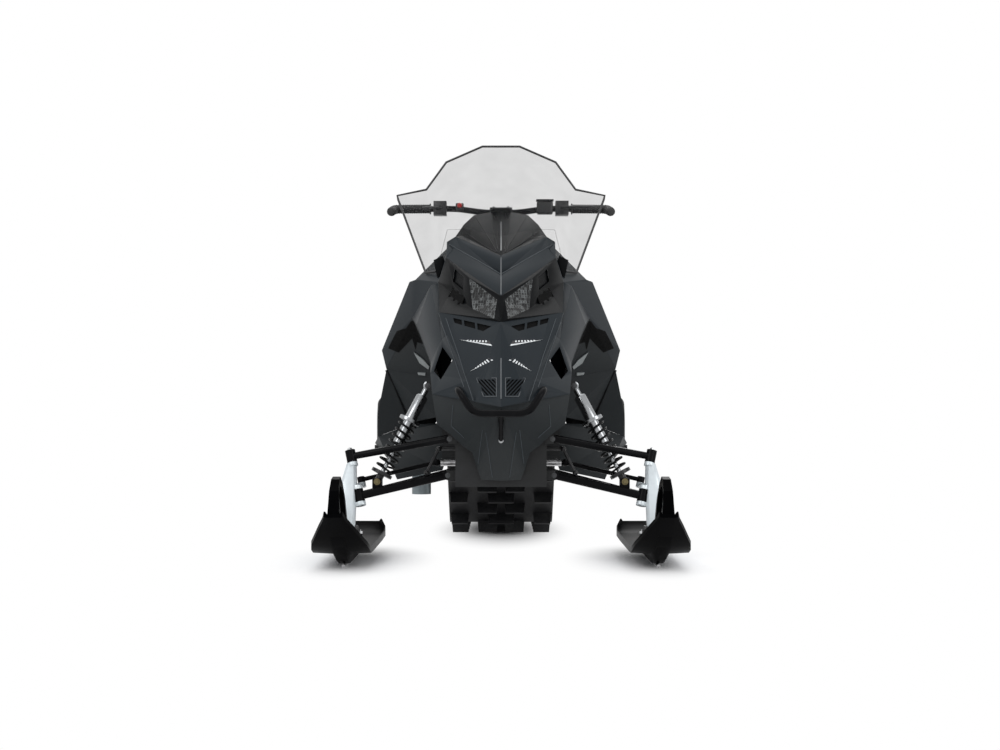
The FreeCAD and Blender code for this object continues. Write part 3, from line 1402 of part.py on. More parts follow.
def gusset_block(fork, middle):
    """Fills between a fork's disc and the upright."""
    box = fork.BoundBox
    low = Vector(box.Center.x, box.Center.y - mm.knuckle_radius * 0.8, box.Center.z - mm.fork_thickness / 2)
    return block(low, Vector(middle, box.Center.y + mm.knuckle_radius * 0.8, box.Center.z + mm.fork_thickness / 2))


tie_outer = spot(mm.tie_rod_outer_x, -mm.steer_arm_length, mm.tie_rod_outer_height)
tie_inner = spot(mm.tie_rod_inner_x, -mm.rack_behind, mm.rack_height)


def steering_arm(axis, middle):
    """The lever from the upright back to the tie rod's outer joint, ending under its eye."""
    root = spot(middle, -mm.spindle_lean - mm.spindle_depth * 0.3, mm.tie_rod_outer_height - mm.arm_drop)
    tip = tie_outer - axis * mm.arm_drop
    pin = rod(tip, tie_outer + axis * (mm.arm_drop / 2), mm.tie_rod_radius * 0.7)
    return [rod(root, tip, mm.tie_rod_radius * 1.2), rod(tip - axis * mm.tie_rod_radius, tip + axis * mm.tie_rod_radius, mm.tie_eye_radius), pin]


left_spindle = spindle()
keep("spindle_left", left_spindle)
keep("spindle_right", left_spindle.mirror(Vector(), ACROSS))


# Skis: a plastic blade with a keel and rolled edges, its tip closed by a handle loop
def ski_ring(ahead, half_width, base, keel_drop):
    x = mm.ski_stance / 2
    keel, lip, wall = mm.keel_width / 2, mm.ski_lip, mm.ski_thickness
    half = [
        (keel, base - keel_drop), (keel + wall, base), (half_width, base + wall / 3),
        (half_width, base + lip), (half_width - wall / 2, base + lip), (half_width - wall, base + wall),
    ]
    both = half + [(-across, up) for across, up in reversed(half)]
    return [spot(x + across, ahead, up) for across, up in both]


keel_low = 2 * mm.runner_radius + mm.fit_gap
ski_half = mm.ski_width / 2
ski_rings = []
for ahead_share, width_share, base_share, low_share in SKI_SHARES:
    base = mm.ski_base * base_share
    drop = (base - keel_low) * low_share
    ski_rings.append(ski_ring(mm.ski_reach_front * ahead_share, ski_half * width_share, base, drop))


def ski_loop():
    """The handle: a closed upright band that rises from the deck and curls back to the tip."""
    x = mm.ski_stance / 2 - mm.loop_width / 2
    outline = [spot(x, a * mm.ski_reach_front, up * mm.loop_top) for a, up in LOOP_OUTER_SHARES]
    window = [spot(x, a * mm.ski_reach_front, up * mm.loop_top) for a, up in LOOP_INNER_SHARES]
    wide = Vector(mm.loop_width, 0, 0)
    band = Part.Face(Part.makePolygon(outline + outline[:1])).extrude(wide)
    return band.cut(Part.Face(Part.makePolygon(window + window[:1])).extrude(wide))


ski = joined([ruled_loft(ski_rings), ski_loop()])
keep("ski_left", ski)
keep("ski_right", ski.mirror(Vector(), ACROSS))

# Runners: a steel wear rod under each keel
x = mm.ski_stance / 2
runner = rod(
    spot(x, -mm.runner_rear, mm.runner_radius), spot(x, mm.runner_front, mm.runner_radius), mm.runner_radius
)
keep("runner_left", runner)
keep("runner_right", runner.mirror(Vector(), ACROSS))

# Saddles: a rubber block on the ski with a cheek plate and a bolt head on either side of the
# spindle's foot
deck = mm.ski_base + mm.ski_thickness
foot_low = mm.ski_bolt_height - mm.spindle_foot_drop
foot_x = x + mm.spindle_outset
saddle_half, saddle_reach = mm.saddle_width / 2, mm.saddle_length / 2


def saddle_ring(height, width_share, length_share):
    half, reach = saddle_half * width_share, mm.saddle_length * length_share
    return ring_at(height, foot_x - half, foot_x + half, mm.ski_bolt_ahead - reach, mm.ski_bolt_ahead + reach,
                   mm.spindle_corner)


saddle_base = ruled_loft([saddle_ring(deck + mm.fit_gap, 1, 1), saddle_ring(foot_low - mm.fit_gap, 1, 0.9)])
saddle_parts = [saddle_base]
for side in (-1, 1):
    inner = foot_x + side * mm.spindle_width / 2
    outer = inner + side * mm.saddle_cheek
    profile = [(-1, deck + mm.fit_gap), (1, deck + mm.fit_gap), (0.45, mm.saddle_cheek_top), (-0.45, mm.saddle_cheek_top)]
    corners = [spot(inner, mm.ski_bolt_ahead + reach * saddle_reach, height) for reach, height in profile]
    plate = Part.Face(Part.makePolygon(corners + corners[:1])).extrude(Vector(outer - inner, 0, 0))
    bolt = spot(outer, mm.ski_bolt_ahead, mm.ski_bolt_height)
    head = rod(bolt - ACROSS * (side * mm.fit_gap), bolt + ACROSS * (side * mm.saddle_cheek), mm.tie_eye_radius)
    saddle_parts += [plate, head]
saddle = joined(saddle_parts)
keep("ski_saddle_left", saddle)
keep("ski_saddle_right", saddle.mirror(Vector(), ACROSS))


# Tie rods and rack
def tie_rod():
    line = tie_inner - tie_outer
    line.normalize()
    axis = Vector(kingpin)
    axis.normalize()
    eye = rod(tie_outer - axis * (mm.arm_drop / 2 - mm.fit_gap), tie_outer + axis * (mm.arm_drop / 2), mm.tie_eye_radius)
    hole = rod(tie_outer - axis * mm.arm_drop, tie_outer + axis * mm.arm_drop, mm.tie_rod_radius * 0.7 + mm.fit_gap)
    shaft = rod(tie_outer, tie_inner, mm.tie_rod_radius)
    return joined([eye, shaft, ball(tie_inner, mm.tie_eye_radius)]).cut(hole)


left_rod = tie_rod()
keep("tie_rod_left", left_rod)
keep("tie_rod_right", left_rod.mirror(Vector(), ACROSS))

rack_end = spot(mm.tie_rod_inner_x - mm.tie_eye_radius - mm.fit_gap, -mm.rack_behind, mm.rack_height)
keep("steering_rack", rod(mirrored(rack_end), rack_end, mm.rack_radius))

# Bodywork: one faceted skin, parted into panels along its seams
skin = skin_solids(SKIN_SHARES, SKIN_PANELS, SKIN_INSIDE_SHARE, mm.panel_thickness)



def prism(outline, front_share=CUT_FRONT_SHARE, back_share=CUT_BACK_SHARE):
    """A straight block along the machine's length, of an outline in shares across and up."""
    corners = [cowl_spot((across, front_share, up)) for across, up in outline]
    length = Vector(0, (front_share - back_share) * mm.cowl_size, 0)
    return Part.Face(Part.makePolygon(corners + corners[:1])).extrude(length)


def slanted(outline, rise):
    """The outline with its upper edge moved across by the rise."""
    return [(across + (rise if up_index in (1, 2) else 0), up) for up_index, (across, up) in enumerate(outline)]


# Openings in the nose: intake slots parted by ribs, a grille of slanted slots, ducts in the cheeks,
# and the outer lamps and louvres beside the headlights
low_rib, high_rib = 0.68, 0.79
ribs = []
for across in INTAKE_RIB_SHARES:
    foot = [(across, low_rib), (across, high_rib), (across + INTAKE_RIB_WIDTH_SHARE, high_rib),
            (across + INTAKE_RIB_WIDTH_SHARE, low_rib)]
    ribs.append(prism(slanted(foot, INTAKE_RIB_LEAN_SHARE)))
intakes = prism(INTAKE_SHARES).cut(ribs)
grille_low = min(up for _, up in GRILLE_SHARES)
grille_high = max(up for _, up in GRILLE_SHARES)
grille_slots = []
start = -GRILLE_RISE_SHARE
while start < GRILLE_SHARES[1][0]:
    strip = [(start, grille_low), (start + GRILLE_RISE_SHARE, grille_high),
             (start + GRILLE_RISE_SHARE + GRILLE_SLOT_SHARE, grille_high), (start + GRILLE_SLOT_SHARE, grille_low)]
    grille_slots.append(prism(strip))
    start += GRILLE_PITCH_SHARE
grille = prism(GRILLE_SHARES).common(Part.makeCompound(grille_slots))
louvres = []
for step in range(3):
    moved = [(across + LOUVRE_STEP_SHARE[0] * step, up + LOUVRE_STEP_SHARE[1] * step) for across, up in LOUVRE_SHARES]
    louvres.append(prism(moved))
openings = {
    "nose_cowl": intakes.Solids + grille.Solids,
    "nose_cheeks": [prism(DUCT_SHARES)],
    "headlight_housing": [prism(OUTER_LAMP_SHARES)] + louvres,
}

# Nose bumper: a bent tube under the nose with a strut down to the belly
nose_tube_points = [cowl_spot(place) for place in NOSE_TUBE_SHARES]
nose_tube = bent_tube(
    nose_tube_points + [mirrored(place) for place in reversed(nose_tube_points)], mm.nose_bumper_radius
)
strut_top, strut_foot = cowl_spot(STRUT_TOP_SHARE), cowl_spot(STRUT_FOOT_SHARE)
strut = rod(strut_top, strut_foot, mm.strut_radius)
keep("front_bumper", joined([nose_tube, strut]))
clearance = [
    rod(nose_tube_points[0], nose_tube_points[1], mm.nose_bumper_radius + mm.fit_gap),
    rod(mirrored(nose_tube_points[0]), mirrored(nose_tube_points[1]), mm.nose_bumper_radius + mm.fit_gap),
    rod(strut_top, strut_foot, mm.strut_radius + mm.fit_gap),
]
panels = {}
for label, panel in skin.items():
    holes = []
    for hole in openings.get(label, []):
        holes += [hole, hole.mirror(Vector(), ACROSS)]
    if label in ("belly_pan", "nose_cheeks"):
        holes += clearance
    panels[label] = panel.cut(holes) if holes else panel
    keep(label, panels[label])

# Liners that close the sides over the tub, and guards ahead of the running boards
liner = skin_solids(LINER_SHARES, {"side_liners": LINER_FACETS}, LINER_INSIDE_SHARE, mm.panel_thickness)
guard = skin_solids(GUARD_SHARES, {"foot_guards": GUARD_FACETS}, GUARD_INSIDE_SHARE, mm.panel_thickness)
fitted = [solid for solid in liner["side_liners"].cut(panels["side_panels"]).Solids if solid.Volume > mm.sliver]
keep("side_liners", Part.makeCompound(fitted))
half_tunnel = mm.tunnel_width / 2
tunnel_block = block(
    spot(-half_tunnel, 0, mm.fit_gap), spot(half_tunnel, -mm.tunnel_front_behind_spindle - mm.tunnel_length, mm.cowl_size)
)
keep("foot_guards", guard["foot_guards"].cut(tunnel_block))

# Windshield
glass = skin_solids(GLASS_SHARES, {"windshield": GLASS_FACETS}, GLASS_INSIDE_SHARE, mm.glass_thickness)
keep("windshield", glass["windshield"])

# Windshield brackets: plates on the shoulders that carry its feet
bracket = prism(BRACKET_SHARES, BRACKET_FRONT_SHARE, BRACKET_BACK_SHARE)
carriers = [panels["side_panels"], panels["brow"], panels["console_pod"], panels["headlight_housing"]]
bracket = max(bracket.cut(carriers + [glass["windshield"]]).Solids, key=lambda solid: solid.Volume)
keep("windshield_brackets", both_sides(bracket))

# Fuel tank and seat: lofted blocks on the tunnel
def deck_height(behind_tunnel):
    """The top of the tunnel's sheet, so far behind its front."""
    sloped = min(behind_tunnel / mm.tunnel_slope_length, 1)
    return mm.tunnel_front_top + (mm.tunnel_rear_top - mm.tunnel_front_top) * sloped


def block_ring(behind_tunnel, low, high, half, top_share):
    """An upright eight-cornered outline, so far behind the tunnel's front."""
    shoulder = high - (high - low) * mm.shoulder_share
    half_ring = [(half * mm.foot_share, low), (half, low + (shoulder - low) * mm.waist_share), (half, shoulder),
                 (half * top_share, high)]
    both = half_ring + [(-x, z) for x, z in reversed(half_ring)]
    return [spot(x, -mm.tunnel_front_behind_spindle - behind_tunnel, z) for x, z in both]


def block_along(shares, front, sizes):
    """A block on the tunnel through rings: shares of its length, height and half width."""
    length, height, half = sizes
    rings = []
    for along, up, wide, top_share in shares:
        behind = front + along * length
        rings.append(block_ring(behind, deck_height(behind) + mm.fit_gap, mm.tunnel_rear_top + up * height, wide * half,
                                top_share))
    return ruled_loft(rings)


seat_front = mm.tank_front_behind_tunnel + mm.tank_length + mm.fit_gap
seat_rear = seat_front + mm.seat_length
keep("fuel_tank", block_along(TANK_SHARES, mm.tank_front_behind_tunnel, (mm.tank_length, mm.tank_height, mm.tank_half_width)))
keep("seat", block_along(SEAT_SHARES, seat_front, (mm.seat_length, mm.seat_height, mm.seat_half_width)))
lamp_rings = []
for depth_share, low_share, high_share, wide_share, top_share in LAMP_SHARES:
    low, high = (mm.tunnel_rear_top + share * mm.seat_height for share in (low_share, high_share))
    lamp_rings.append(block_ring(seat_rear + mm.fit_gap + depth_share * mm.lamp_depth, low, high,
                                 wide_share * mm.seat_half_width, top_share))
keep("tail_lamp", ruled_loft(lamp_rings))

# Toe holds: bent tubes from the boards' front outer corners up and in to the side panels
board_edge = mm.tunnel_width / 2 + mm.board_width
toe_start = spot(
    board_edge + mm.board_edge_roll - mm.toe_inset - mm.toe_tube_radius, -mm.board_front_behind_spindle - mm.toe_behind_board_front,
    mm.board_height + mm.board_edge_rise + mm.fit_gap,
)
toe_points = [toe_start, toe_start + Vector(0, 0, mm.toe_rise)] + [cowl_spot(place) for place in TOE_SHARES]
keep("toe_holds", both_sides(bent_tube(toe_points, mm.toe_tube_radius)))

# Rear bumper and snow flap
tunnel_rear = mm.tunnel_front_behind_spindle + mm.tunnel_length
beside = mm.tunnel_width / 2 + mm.rear_bumper_radius + mm.fit_gap
tube_height = mm.tunnel_rear_top - mm.rear_bumper_radius * 2
rear_points = [
    spot(beside, -tunnel_rear + mm.rear_bumper_grip, tube_height),
    spot(beside, -tunnel_rear - mm.rear_bumper_reach * 0.45, tube_height),
    spot(beside - mm.rear_bumper_radius, -tunnel_rear - mm.rear_bumper_reach, mm.tunnel_rear_top + mm.rear_bumper_rise),
]
rear_tube = bent_tube(rear_points + [mirrored(place) for place in reversed(rear_points)], mm.rear_bumper_radius)
keep("rear_bumper", rear_tube)

half_flap = mm.flap_width / 2
flap_top = spot(0, -tunnel_rear - mm.fit_gap, mm.tunnel_rear_top - mm.fit_gap)
flap_foot = spot(0, -tunnel_rear - mm.flap_lean, mm.flap_bottom)
deep = Vector(0, mm.flap_thickness, 0)
flap_corners = [
    Vector(-half_flap, flap_top.y, flap_top.z), Vector(half_flap, flap_top.y, flap_top.z),
    Vector(half_flap, flap_foot.y, flap_foot.z), Vector(-half_flap, flap_foot.y, flap_foot.z),
]
keep("snow_flap", Part.Face(Part.makePolygon(flap_corners + flap_corners[:1])).extrude(deep))

# Handlebar: post, clamp, bent bar, grips and the two control blocks
bar_half = []
for across, ahead, up in BAR_SHARES:
    bar_half.append(bar_centre + Vector(across * mm.bar_width, -ahead * mm.bar_width, up * mm.bar_width))
bar_points = [mirrored(place) for place in reversed(bar_half)] + bar_half
bar = bent_tube(bar_points, mm.bar_radius, 0.3)
clamp_low = bar_centre - Vector(mm.clamp_length / 2, mm.clamp_size / 2, mm.clamp_size / 2)
clamp = block(clamp_low, clamp_low + Vector(mm.clamp_length, mm.clamp_size, mm.clamp_size))
keep("handlebar", bar)
keep("handlebar_post", joined([rod(post_foot, bar_centre, mm.post_radius), clamp]).cut(rod(
    bar_centre - ACROSS * mm.clamp_length, bar_centre + ACROSS * mm.clamp_length, mm.bar_radius + mm.fit_gap)))


def along_bar(first_share, last_share, radius):
    """A sleeve round the straight end of the bar."""
    root, end = bar_half[-3], bar_half[-2]
    run = end - root
    sleeve = rod(root + run * first_share, root + run * last_share, radius)
    return sleeve.cut(rod(root, end, mm.bar_radius + mm.fit_gap))


keep("grips", both_sides(along_bar(mm.grip_start_share, mm.grip_end_share, mm.grip_radius)))


def control_block(first_share, last_share, sizes, lever_shares):
    """A clamp round the bar with a housing ahead of it and a lever along the grip."""
    root, end = bar_half[-3], bar_half[-2]
    run = end - root
    middle = root + run * ((first_share + last_share) / 2)
    length = run.Length * (last_share - first_share)
    deep, high = sizes
    low = Vector(middle.x - length / 2, middle.y - deep, middle.z - high / 2)
    shapes = [block(low, low + Vector(length, deep + mm.grip_radius, high))]
    lever = [Vector(root.x + run.x * a, middle.y - deep * b, middle.z) for a, b in lever_shares]
    shapes.append(bent_tube(lever, mm.lever_radius))
    return joined(shapes).cut(rod(root - run, end + run, mm.bar_radius + mm.fit_gap))


keep("brake_block", control_block(*BLOCK_SHARES, (mm.block_depth, mm.block_height), LEVER_SHARES))
throttle = control_block(*BLOCK_SHARES, (mm.block_depth * 0.8, mm.block_height), THUMB_SHARES)
keep("throttle_block", throttle.mirror(Vector(), ACROSS))

# Exhaust outlet under the right side
outlet = []
for across, behind, height in OUTLET_SHARES:
    outlet.append(spot(across * mm.tub_half_width, -behind * mm.tunnel_front_behind_spindle, mm.tub_floor * height))
pipe = bent_tube(outlet, mm.outlet_radius, 0.5)
bore = rod(outlet[0], outlet[0] + (outlet[1] - outlet[0]) * 0.3, mm.outlet_radius - mm.sheet_thickness)
keep("exhaust_outlet", pipe.cut(bore))

# Checks and export
doc.recompute()
for item in doc.Objects:
    if {"Invalid", "Error"} & set(item.State):
        raise RuntimeError(f"{item.Name} is {item.State}")
for part in parts:
    if part.Shape.isNull() or not part.Shape.isValid():
        raise RuntimeError(f"{part.Label} has no valid shape")
os.makedirs("parts", exist_ok=True)
for part in parts:
    part.Shape.exportStep(f"parts/{part.Label}.step")
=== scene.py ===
import math

import bmesh
import bpy
from mathutils import Matrix, Vector
from mathutils.bvhtree import BVHTree


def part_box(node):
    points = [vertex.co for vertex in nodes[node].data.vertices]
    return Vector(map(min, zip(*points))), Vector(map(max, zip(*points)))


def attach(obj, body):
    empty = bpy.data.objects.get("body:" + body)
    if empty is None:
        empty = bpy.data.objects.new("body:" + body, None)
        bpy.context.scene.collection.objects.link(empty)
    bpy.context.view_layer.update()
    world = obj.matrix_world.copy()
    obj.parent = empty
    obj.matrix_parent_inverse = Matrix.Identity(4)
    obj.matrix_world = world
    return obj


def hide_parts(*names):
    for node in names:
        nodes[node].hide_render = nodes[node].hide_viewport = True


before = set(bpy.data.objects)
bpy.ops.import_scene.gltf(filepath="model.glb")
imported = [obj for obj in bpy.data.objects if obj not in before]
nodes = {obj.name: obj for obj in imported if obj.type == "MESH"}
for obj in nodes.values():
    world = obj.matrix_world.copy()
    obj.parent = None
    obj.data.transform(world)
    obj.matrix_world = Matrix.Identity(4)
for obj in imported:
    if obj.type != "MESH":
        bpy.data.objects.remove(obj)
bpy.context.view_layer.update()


# Studio: a white sweep for the floor, a wide soft lamp overhead, one at either side and one behind.
# The camera stands 5.2 m ahead of the ski spindles at half a metre, level, and looks along +Y.
CAMERA_AHEAD = 6.13
CAMERA_HEIGHT = 0.5
CAMERA_LENS = 59.8
AXIS_SHIFT, HORIZON_SHIFT = -0.001, 0.025
WHITE = (1, 1, 1, 1)
SKY, SKY_STRENGTH = (0.92, 0.95, 1, 1), 0.62
LAMPS = {
    "key_lamp": ((-2.9, -4.0, 3.6), 3.0, 90),
    "fill_lamp": ((3.4, -3.4, 2.4), 2.6, 60),
    "top_lamp": ((0, 0.3, 4.6), 4.5, 50),
    "back_lamp": ((0.5, 4.6, 3.2), 3.0, 70),
}
LAMP_AIM = Vector((0, 0, 0.5))
FLOOR_DROP = 0.002
FLOOR_LEFT, FLOOR_RIGHT, FLOOR_FRONT, FLOOR_REAR = -30, 30, -12, 40
CONTACTS = [((0.47, -0.93, 0), (1.0, 0.45, 1)), ((-0.47, -0.93, 0), (1.0, 0.45, 1)),
            ((0, 0.35, 0), (1.0, 0.3, 1))]
SHADOW_START, SHADOW_END = 0.05, 0.29


def new_object(name, data):
    """An object with this data, in the scene."""
    made = bpy.data.objects.new(name, data)
    scene.collection.objects.link(made)
    return made


def add_node(tree, kind, inputs=None, **settings):
    """A shader node with its settings. Each input takes a value, or another node's output."""
    made = tree.nodes.new("ShaderNode" + kind)
    for name, value in settings.items():
        setattr(made, name, value)
    for socket, value in (inputs or {}).items():
        if isinstance(value, bpy.types.NodeSocket):
            tree.links.new(value, made.inputs[socket])
        else:
            made.inputs[socket].default_value = value
    return made


def white_to_the_camera(tree, shader, plain, target):
    """Shows the plain shader to camera, glossy and transmission rays, and the shader to the rest."""
    rays = add_node(tree, "LightPath").outputs
    seen = add_node(tree, "Math", {0: rays["Is Camera Ray"], 1: rays["Is Transmission Ray"]},
                    operation="MAXIMUM")
    either = add_node(tree, "Math", {0: seen.outputs[0], 1: rays["Is Glossy Ray"]}, operation="MAXIMUM")
    mix = add_node(tree, "MixShader", {0: either.outputs[0], 1: shader, 2: plain})
    tree.links.new(mix.outputs[0], target)


def new_material(name, inputs):
    """A material with its main shader's inputs set. Gives its node tree and that shader as well."""
    material = bpy.data.materials.new(name)
    material.use_nodes = True
    shader = material.node_tree.nodes["Principled BSDF"]
    for socket, value in inputs.items():
        shader.inputs[socket].default_value = value
    return material, material.node_tree, shader


scene = bpy.context.scene
scene.view_settings.view_transform = "Standard"
camera_data = bpy.data.cameras.new("camera")
camera_data.lens = CAMERA_LENS
camera_data.shift_x = AXIS_SHIFT
camera_data.shift_y = HORIZON_SHIFT
camera = new_object("camera", camera_data)
camera.location = (0, -CAMERA_AHEAD, CAMERA_HEIGHT)
camera.rotation_euler = (math.pi / 2, 0, 0)
scene.camera = camera

scene.world = bpy.data.worlds.new("studio_world")
scene.world.use_nodes = True
air = scene.world.node_tree
air.nodes.clear()
sky = add_node(air, "Background", {"Color": SKY, "Strength": SKY_STRENGTH})
backdrop = add_node(air, "Background", {"Color": WHITE})
world_out = add_node(air, "OutputWorld")
white_to_the_camera(air, sky.outputs[0], backdrop.outputs[0], world_out.inputs["Surface"])

for lamp_name, (place, size, power) in LAMPS.items():
    lamp_data = bpy.data.lights.new(lamp_name, "AREA")
    lamp_data.shape = "DISK"
    lamp_data.size = size
    lamp_data.energy = power
    lamp = new_object(lamp_name, lamp_data)
    lamp.location = place
    lamp.rotation_euler = (LAMP_AIM - Vector(place)).to_track_quat("-Z", "Y").to_euler()

floor_mesh = bpy.data.meshes.new("floor")
floor_edges = [(FLOOR_LEFT, FLOOR_FRONT), (FLOOR_RIGHT, FLOOR_FRONT), (FLOOR_RIGHT, FLOOR_REAR),
               (FLOOR_LEFT, FLOOR_REAR)]
floor_mesh.from_pydata([(x, y, -FLOOR_DROP) for x, y in floor_edges], [], [(0, 1, 2, 3)])
floor = new_object("floor", floor_mesh)
floor_paint, paint, floor_shader = new_material("floor_white", {
    "Base Color": (0.93, 0.93, 0.93, 1), "Roughness": 0.6})
floor_place = add_node(paint, "TexCoord").outputs["Object"]
# Painted light: the floor glows plain white away from the skis' and track's contact patches, clearing the
# machine's real shadow, and shows its lit shading only round the contacts.
nearest = SHADOW_END
for contact, stretch in CONTACTS:
    shift = add_node(paint, "VectorMath", {0: floor_place, 1: contact}, operation="SUBTRACT")
    squeeze = add_node(paint, "VectorMath", {0: shift.outputs[0], 1: stretch}, operation="MULTIPLY")
    reach = add_node(paint, "VectorMath", {0: squeeze.outputs[0]}, operation="LENGTH")
    nearest = add_node(paint, "Math", {0: nearest, 1: reach.outputs["Value"]}, operation="MINIMUM").outputs[0]
fade = add_node(paint, "MapRange", {"Value": nearest, "From Min": SHADOW_START, "From Max": SHADOW_END},
                interpolation_type="SMOOTHSTEP")
painted_floor_glow = add_node(paint, "Emission", {"Color": WHITE})
shaded, floor_out = floor_shader.outputs[0], paint.nodes["Material Output"]
glow_clearing_shadow = add_node(paint, "MixShader", {0: fade.outputs["Result"], 1: shaded, 2: painted_floor_glow.outputs[0]})
white_to_the_camera(paint, shaded, glow_clearing_shadow.outputs[0], floor_out.inputs["Surface"])
floor_mesh.materials.append(floor_paint)


# Tunnel: folded aluminium sheet, powder coated black, riveted along both upper folds.
# The coat is fine and even, with faint scuffs where snow and boots rub it.
POWDER_BLACK = (0.009, 0.0095, 0.01)
POWDER_SCUFFED = (0.026, 0.027, 0.029)
COAT_ROUGHNESS = 0.06
RIVET_PITCH, RIVET_RADIUS = 0.075, 0.004
RIVET_X, RIVET_START, RIVET_Z, RIVET_MARGIN = 0.2042, 0.12, 0.437, 0.02


def surface_grain():
    """A group that gives a colour blended by broad noise, a roughness and a fine height."""
    group = bpy.data.node_groups.new("surface_grain", "ShaderNodeTree")
    for way, kind, names in (
        ("INPUT", "NodeSocketColor", ("Colour", "Worn Colour")),
        ("INPUT", "NodeSocketFloat", ("Wear Scale", "Wear Amount", "Grain Scale", "Roughness",
                                      "Roughness Spread")),
        ("OUTPUT", "NodeSocketColor", ("Colour",)),
        ("OUTPUT", "NodeSocketFloat", ("Roughness", "Height")),
    ):
        for name in names:
            group.interface.new_socket(name, in_out=way, socket_type=kind)
    given, out = group.nodes.new("NodeGroupInput").outputs, group.nodes.new("NodeGroupOutput").inputs
    place = add_node(group, "TexCoord").outputs["Object"]
    broad = add_node(group, "TexNoise", {
        "Vector": place, "Scale": given["Wear Scale"], "Detail": 8, "Roughness": 0.65})
    fine = add_node(group, "TexNoise", {"Vector": place, "Scale": given["Grain Scale"], "Detail": 3})
    patch = add_node(group, "MapRange", {"Value": broad.outputs["Fac"], "From Min": 0.5, "From Max": 0.75})
    amount = add_node(group, "Math", {0: patch.outputs["Result"], 1: given["Wear Amount"]},
                      operation="MULTIPLY")
    blend = add_node(group, "Mix", {
        "Factor": amount.outputs[0], "A": given["Colour"], "B": given["Worn Colour"]}, data_type="RGBA")
    rough = add_node(group, "Math", {
        0: broad.outputs["Fac"], 1: given["Roughness Spread"], 2: given["Roughness"],
    }, operation="MULTIPLY_ADD")
    group.links.new(blend.outputs["Result"], out["Colour"])
    group.links.new(rough.outputs[0], out["Roughness"])
    group.links.new(fine.outputs["Fac"], out["Height"])
    return group


grain_group = surface_grain()


def finish(name, colour, worn, roughness, spread=0.1, metallic=0.0, coat=0.0, wear=(9, 0.5),
           grain=(900, 0.0002), shine=0.5):
    """A painted, coated, moulded or machined surface: its two colours, its gloss and its grain."""
    material, tree, shader = new_material(name, {
        "Metallic": metallic, "Coat Weight": coat, "Coat Roughness": COAT_ROUGHNESS,
        "Specular IOR Level": shine})
    surface = add_node(tree, "Group", {
        "Colour": (*colour, 1), "Worn Colour": (*worn, 1), "Wear Scale": wear[0], "Wear Amount": wear[1],
        "Grain Scale": grain[0], "Roughness": roughness - spread / 2, "Roughness Spread": spread,
    }, node_tree=grain_group).outputs
    bump = add_node(tree, "Bump", {"Distance": grain[1], "Height": surface["Height"]})
    tree.links.new(surface["Colour"], shader.inputs["Base Color"])
    tree.links.new(surface["Roughness"], shader.inputs["Roughness"])
    tree.links.new(bump.outputs["Normal"], shader.inputs["Normal"])
    return material


def smooth_round(piece, angle=28):
    """Shades curved runs smooth and keeps the folds crisp."""
    for polygon in piece.data.polygons:
        polygon.use_smooth = True
    piece.data.set_sharp_from_angle(angle=math.radians(angle))


def dress(material, *names):
    """Gives CAD nodes that keep their own shape their finish."""
    for name in names:
        for slot in nodes[name].material_slots:
            slot.material = material
        smooth_round(nodes[name])


def mesh_of(form):
    """Turns a built form into a mesh."""
    mesh = bpy.data.meshes.new("form")
    form.to_mesh(mesh)
    form.free()
    return mesh


def new_piece(name, mesh, material, body):
    """Puts a finished mesh in the scene, with its material and on its body."""
    mesh.name = name
    piece = new_object(name, mesh)
    mesh.materials.clear()
    mesh.materials.append(material)
    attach(piece, body)
    return piece


def form_piece(name, form, material, body="chassis", angle=40):
    """Finishes a built form: outward faces, its own mesh and its place in the scene."""
    bmesh.ops.recalc_face_normals(form, faces=form.faces)
    piece = new_piece(name, mesh_of(form), material, body)
    smooth_round(piece, angle)
    return piece


def dome_heads(name, places, radius, material, body="chassis", height=0.45):
    """Low round heads, one at each place, facing along its direction."""
    form = bmesh.new()
    for place, facing in places:
        turn = Vector(facing).to_track_quat("Z", "Y").to_matrix().to_4x4()
        at = Matrix.Translation(Vector(place)) @ turn @ Matrix.Diagonal((1, 1, height, 1))
        bmesh.ops.create_uvsphere(form, u_segments=12, v_segments=6, radius=radius, matrix=at)
    form_piece(name, form, material, body, angle=60)


powder_coat = finish("powder_coat_black", POWDER_BLACK, POWDER_SCUFFED, 0.42, 0.16, grain=(1400, 0.00015),
                     shine=0.3)
dress(powder_coat, "tunnel")
zinc = finish("zinc_rivet", (0.42, 0.43, 0.44), (0.25, 0.25, 0.25), 0.34, metallic=1.0)
rivets = []
rivet_y = RIVET_START
tunnel_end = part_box("tunnel")[1].y
while rivet_y < tunnel_end - RIVET_MARGIN:
    rivets += [((side * RIVET_X, rivet_y, RIVET_Z), (side, 0, 0)) for side in (-1, 1)]
    rivet_y += RIVET_PITCH
dome_heads("tunnel_rivets", rivets, RIVET_RADIUS, zinc)


# Running boards: extruded and punched aluminium, powder coated, with raised teeth round the slots
# for grip. Each slot sheds snow, and a bent tube at the front holds the toe of the boot.
TOOTH_RADIUS, TOOTH_ROWS, TOOTH_COLUMNS = 0.0032, 15, 6
TOOTH_FIRST_X, TOOTH_STEP_X, TOOTH_Z = 0.232, 0.037, 0.332
TOOTH_START, TOOTH_MARGIN, TOOTH_NUDGE = 0.004, 0.005, 0.02
dress(powder_coat, "running_boards", "toe_holds")
board_low, board_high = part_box("running_boards")
tooth_pitch = (board_high.y - board_low.y - 2 * TOOTH_MARGIN) / TOOTH_ROWS
teeth = []
for row in range(TOOTH_ROWS + 1):
    tooth_y = min(board_low.y + TOOTH_START + (row + TOOTH_NUDGE) * tooth_pitch, board_high.y - TOOTH_MARGIN)
    for column in range(TOOTH_COLUMNS):
        tooth_x = TOOTH_FIRST_X + column * TOOTH_STEP_X
        teeth += [((side * tooth_x, tooth_y, TOOTH_Z), (0, 0, 1)) for side in (-1, 1)]
dome_heads("board_grip_teeth", teeth, TOOTH_RADIUS, powder_coat, height=0.9)


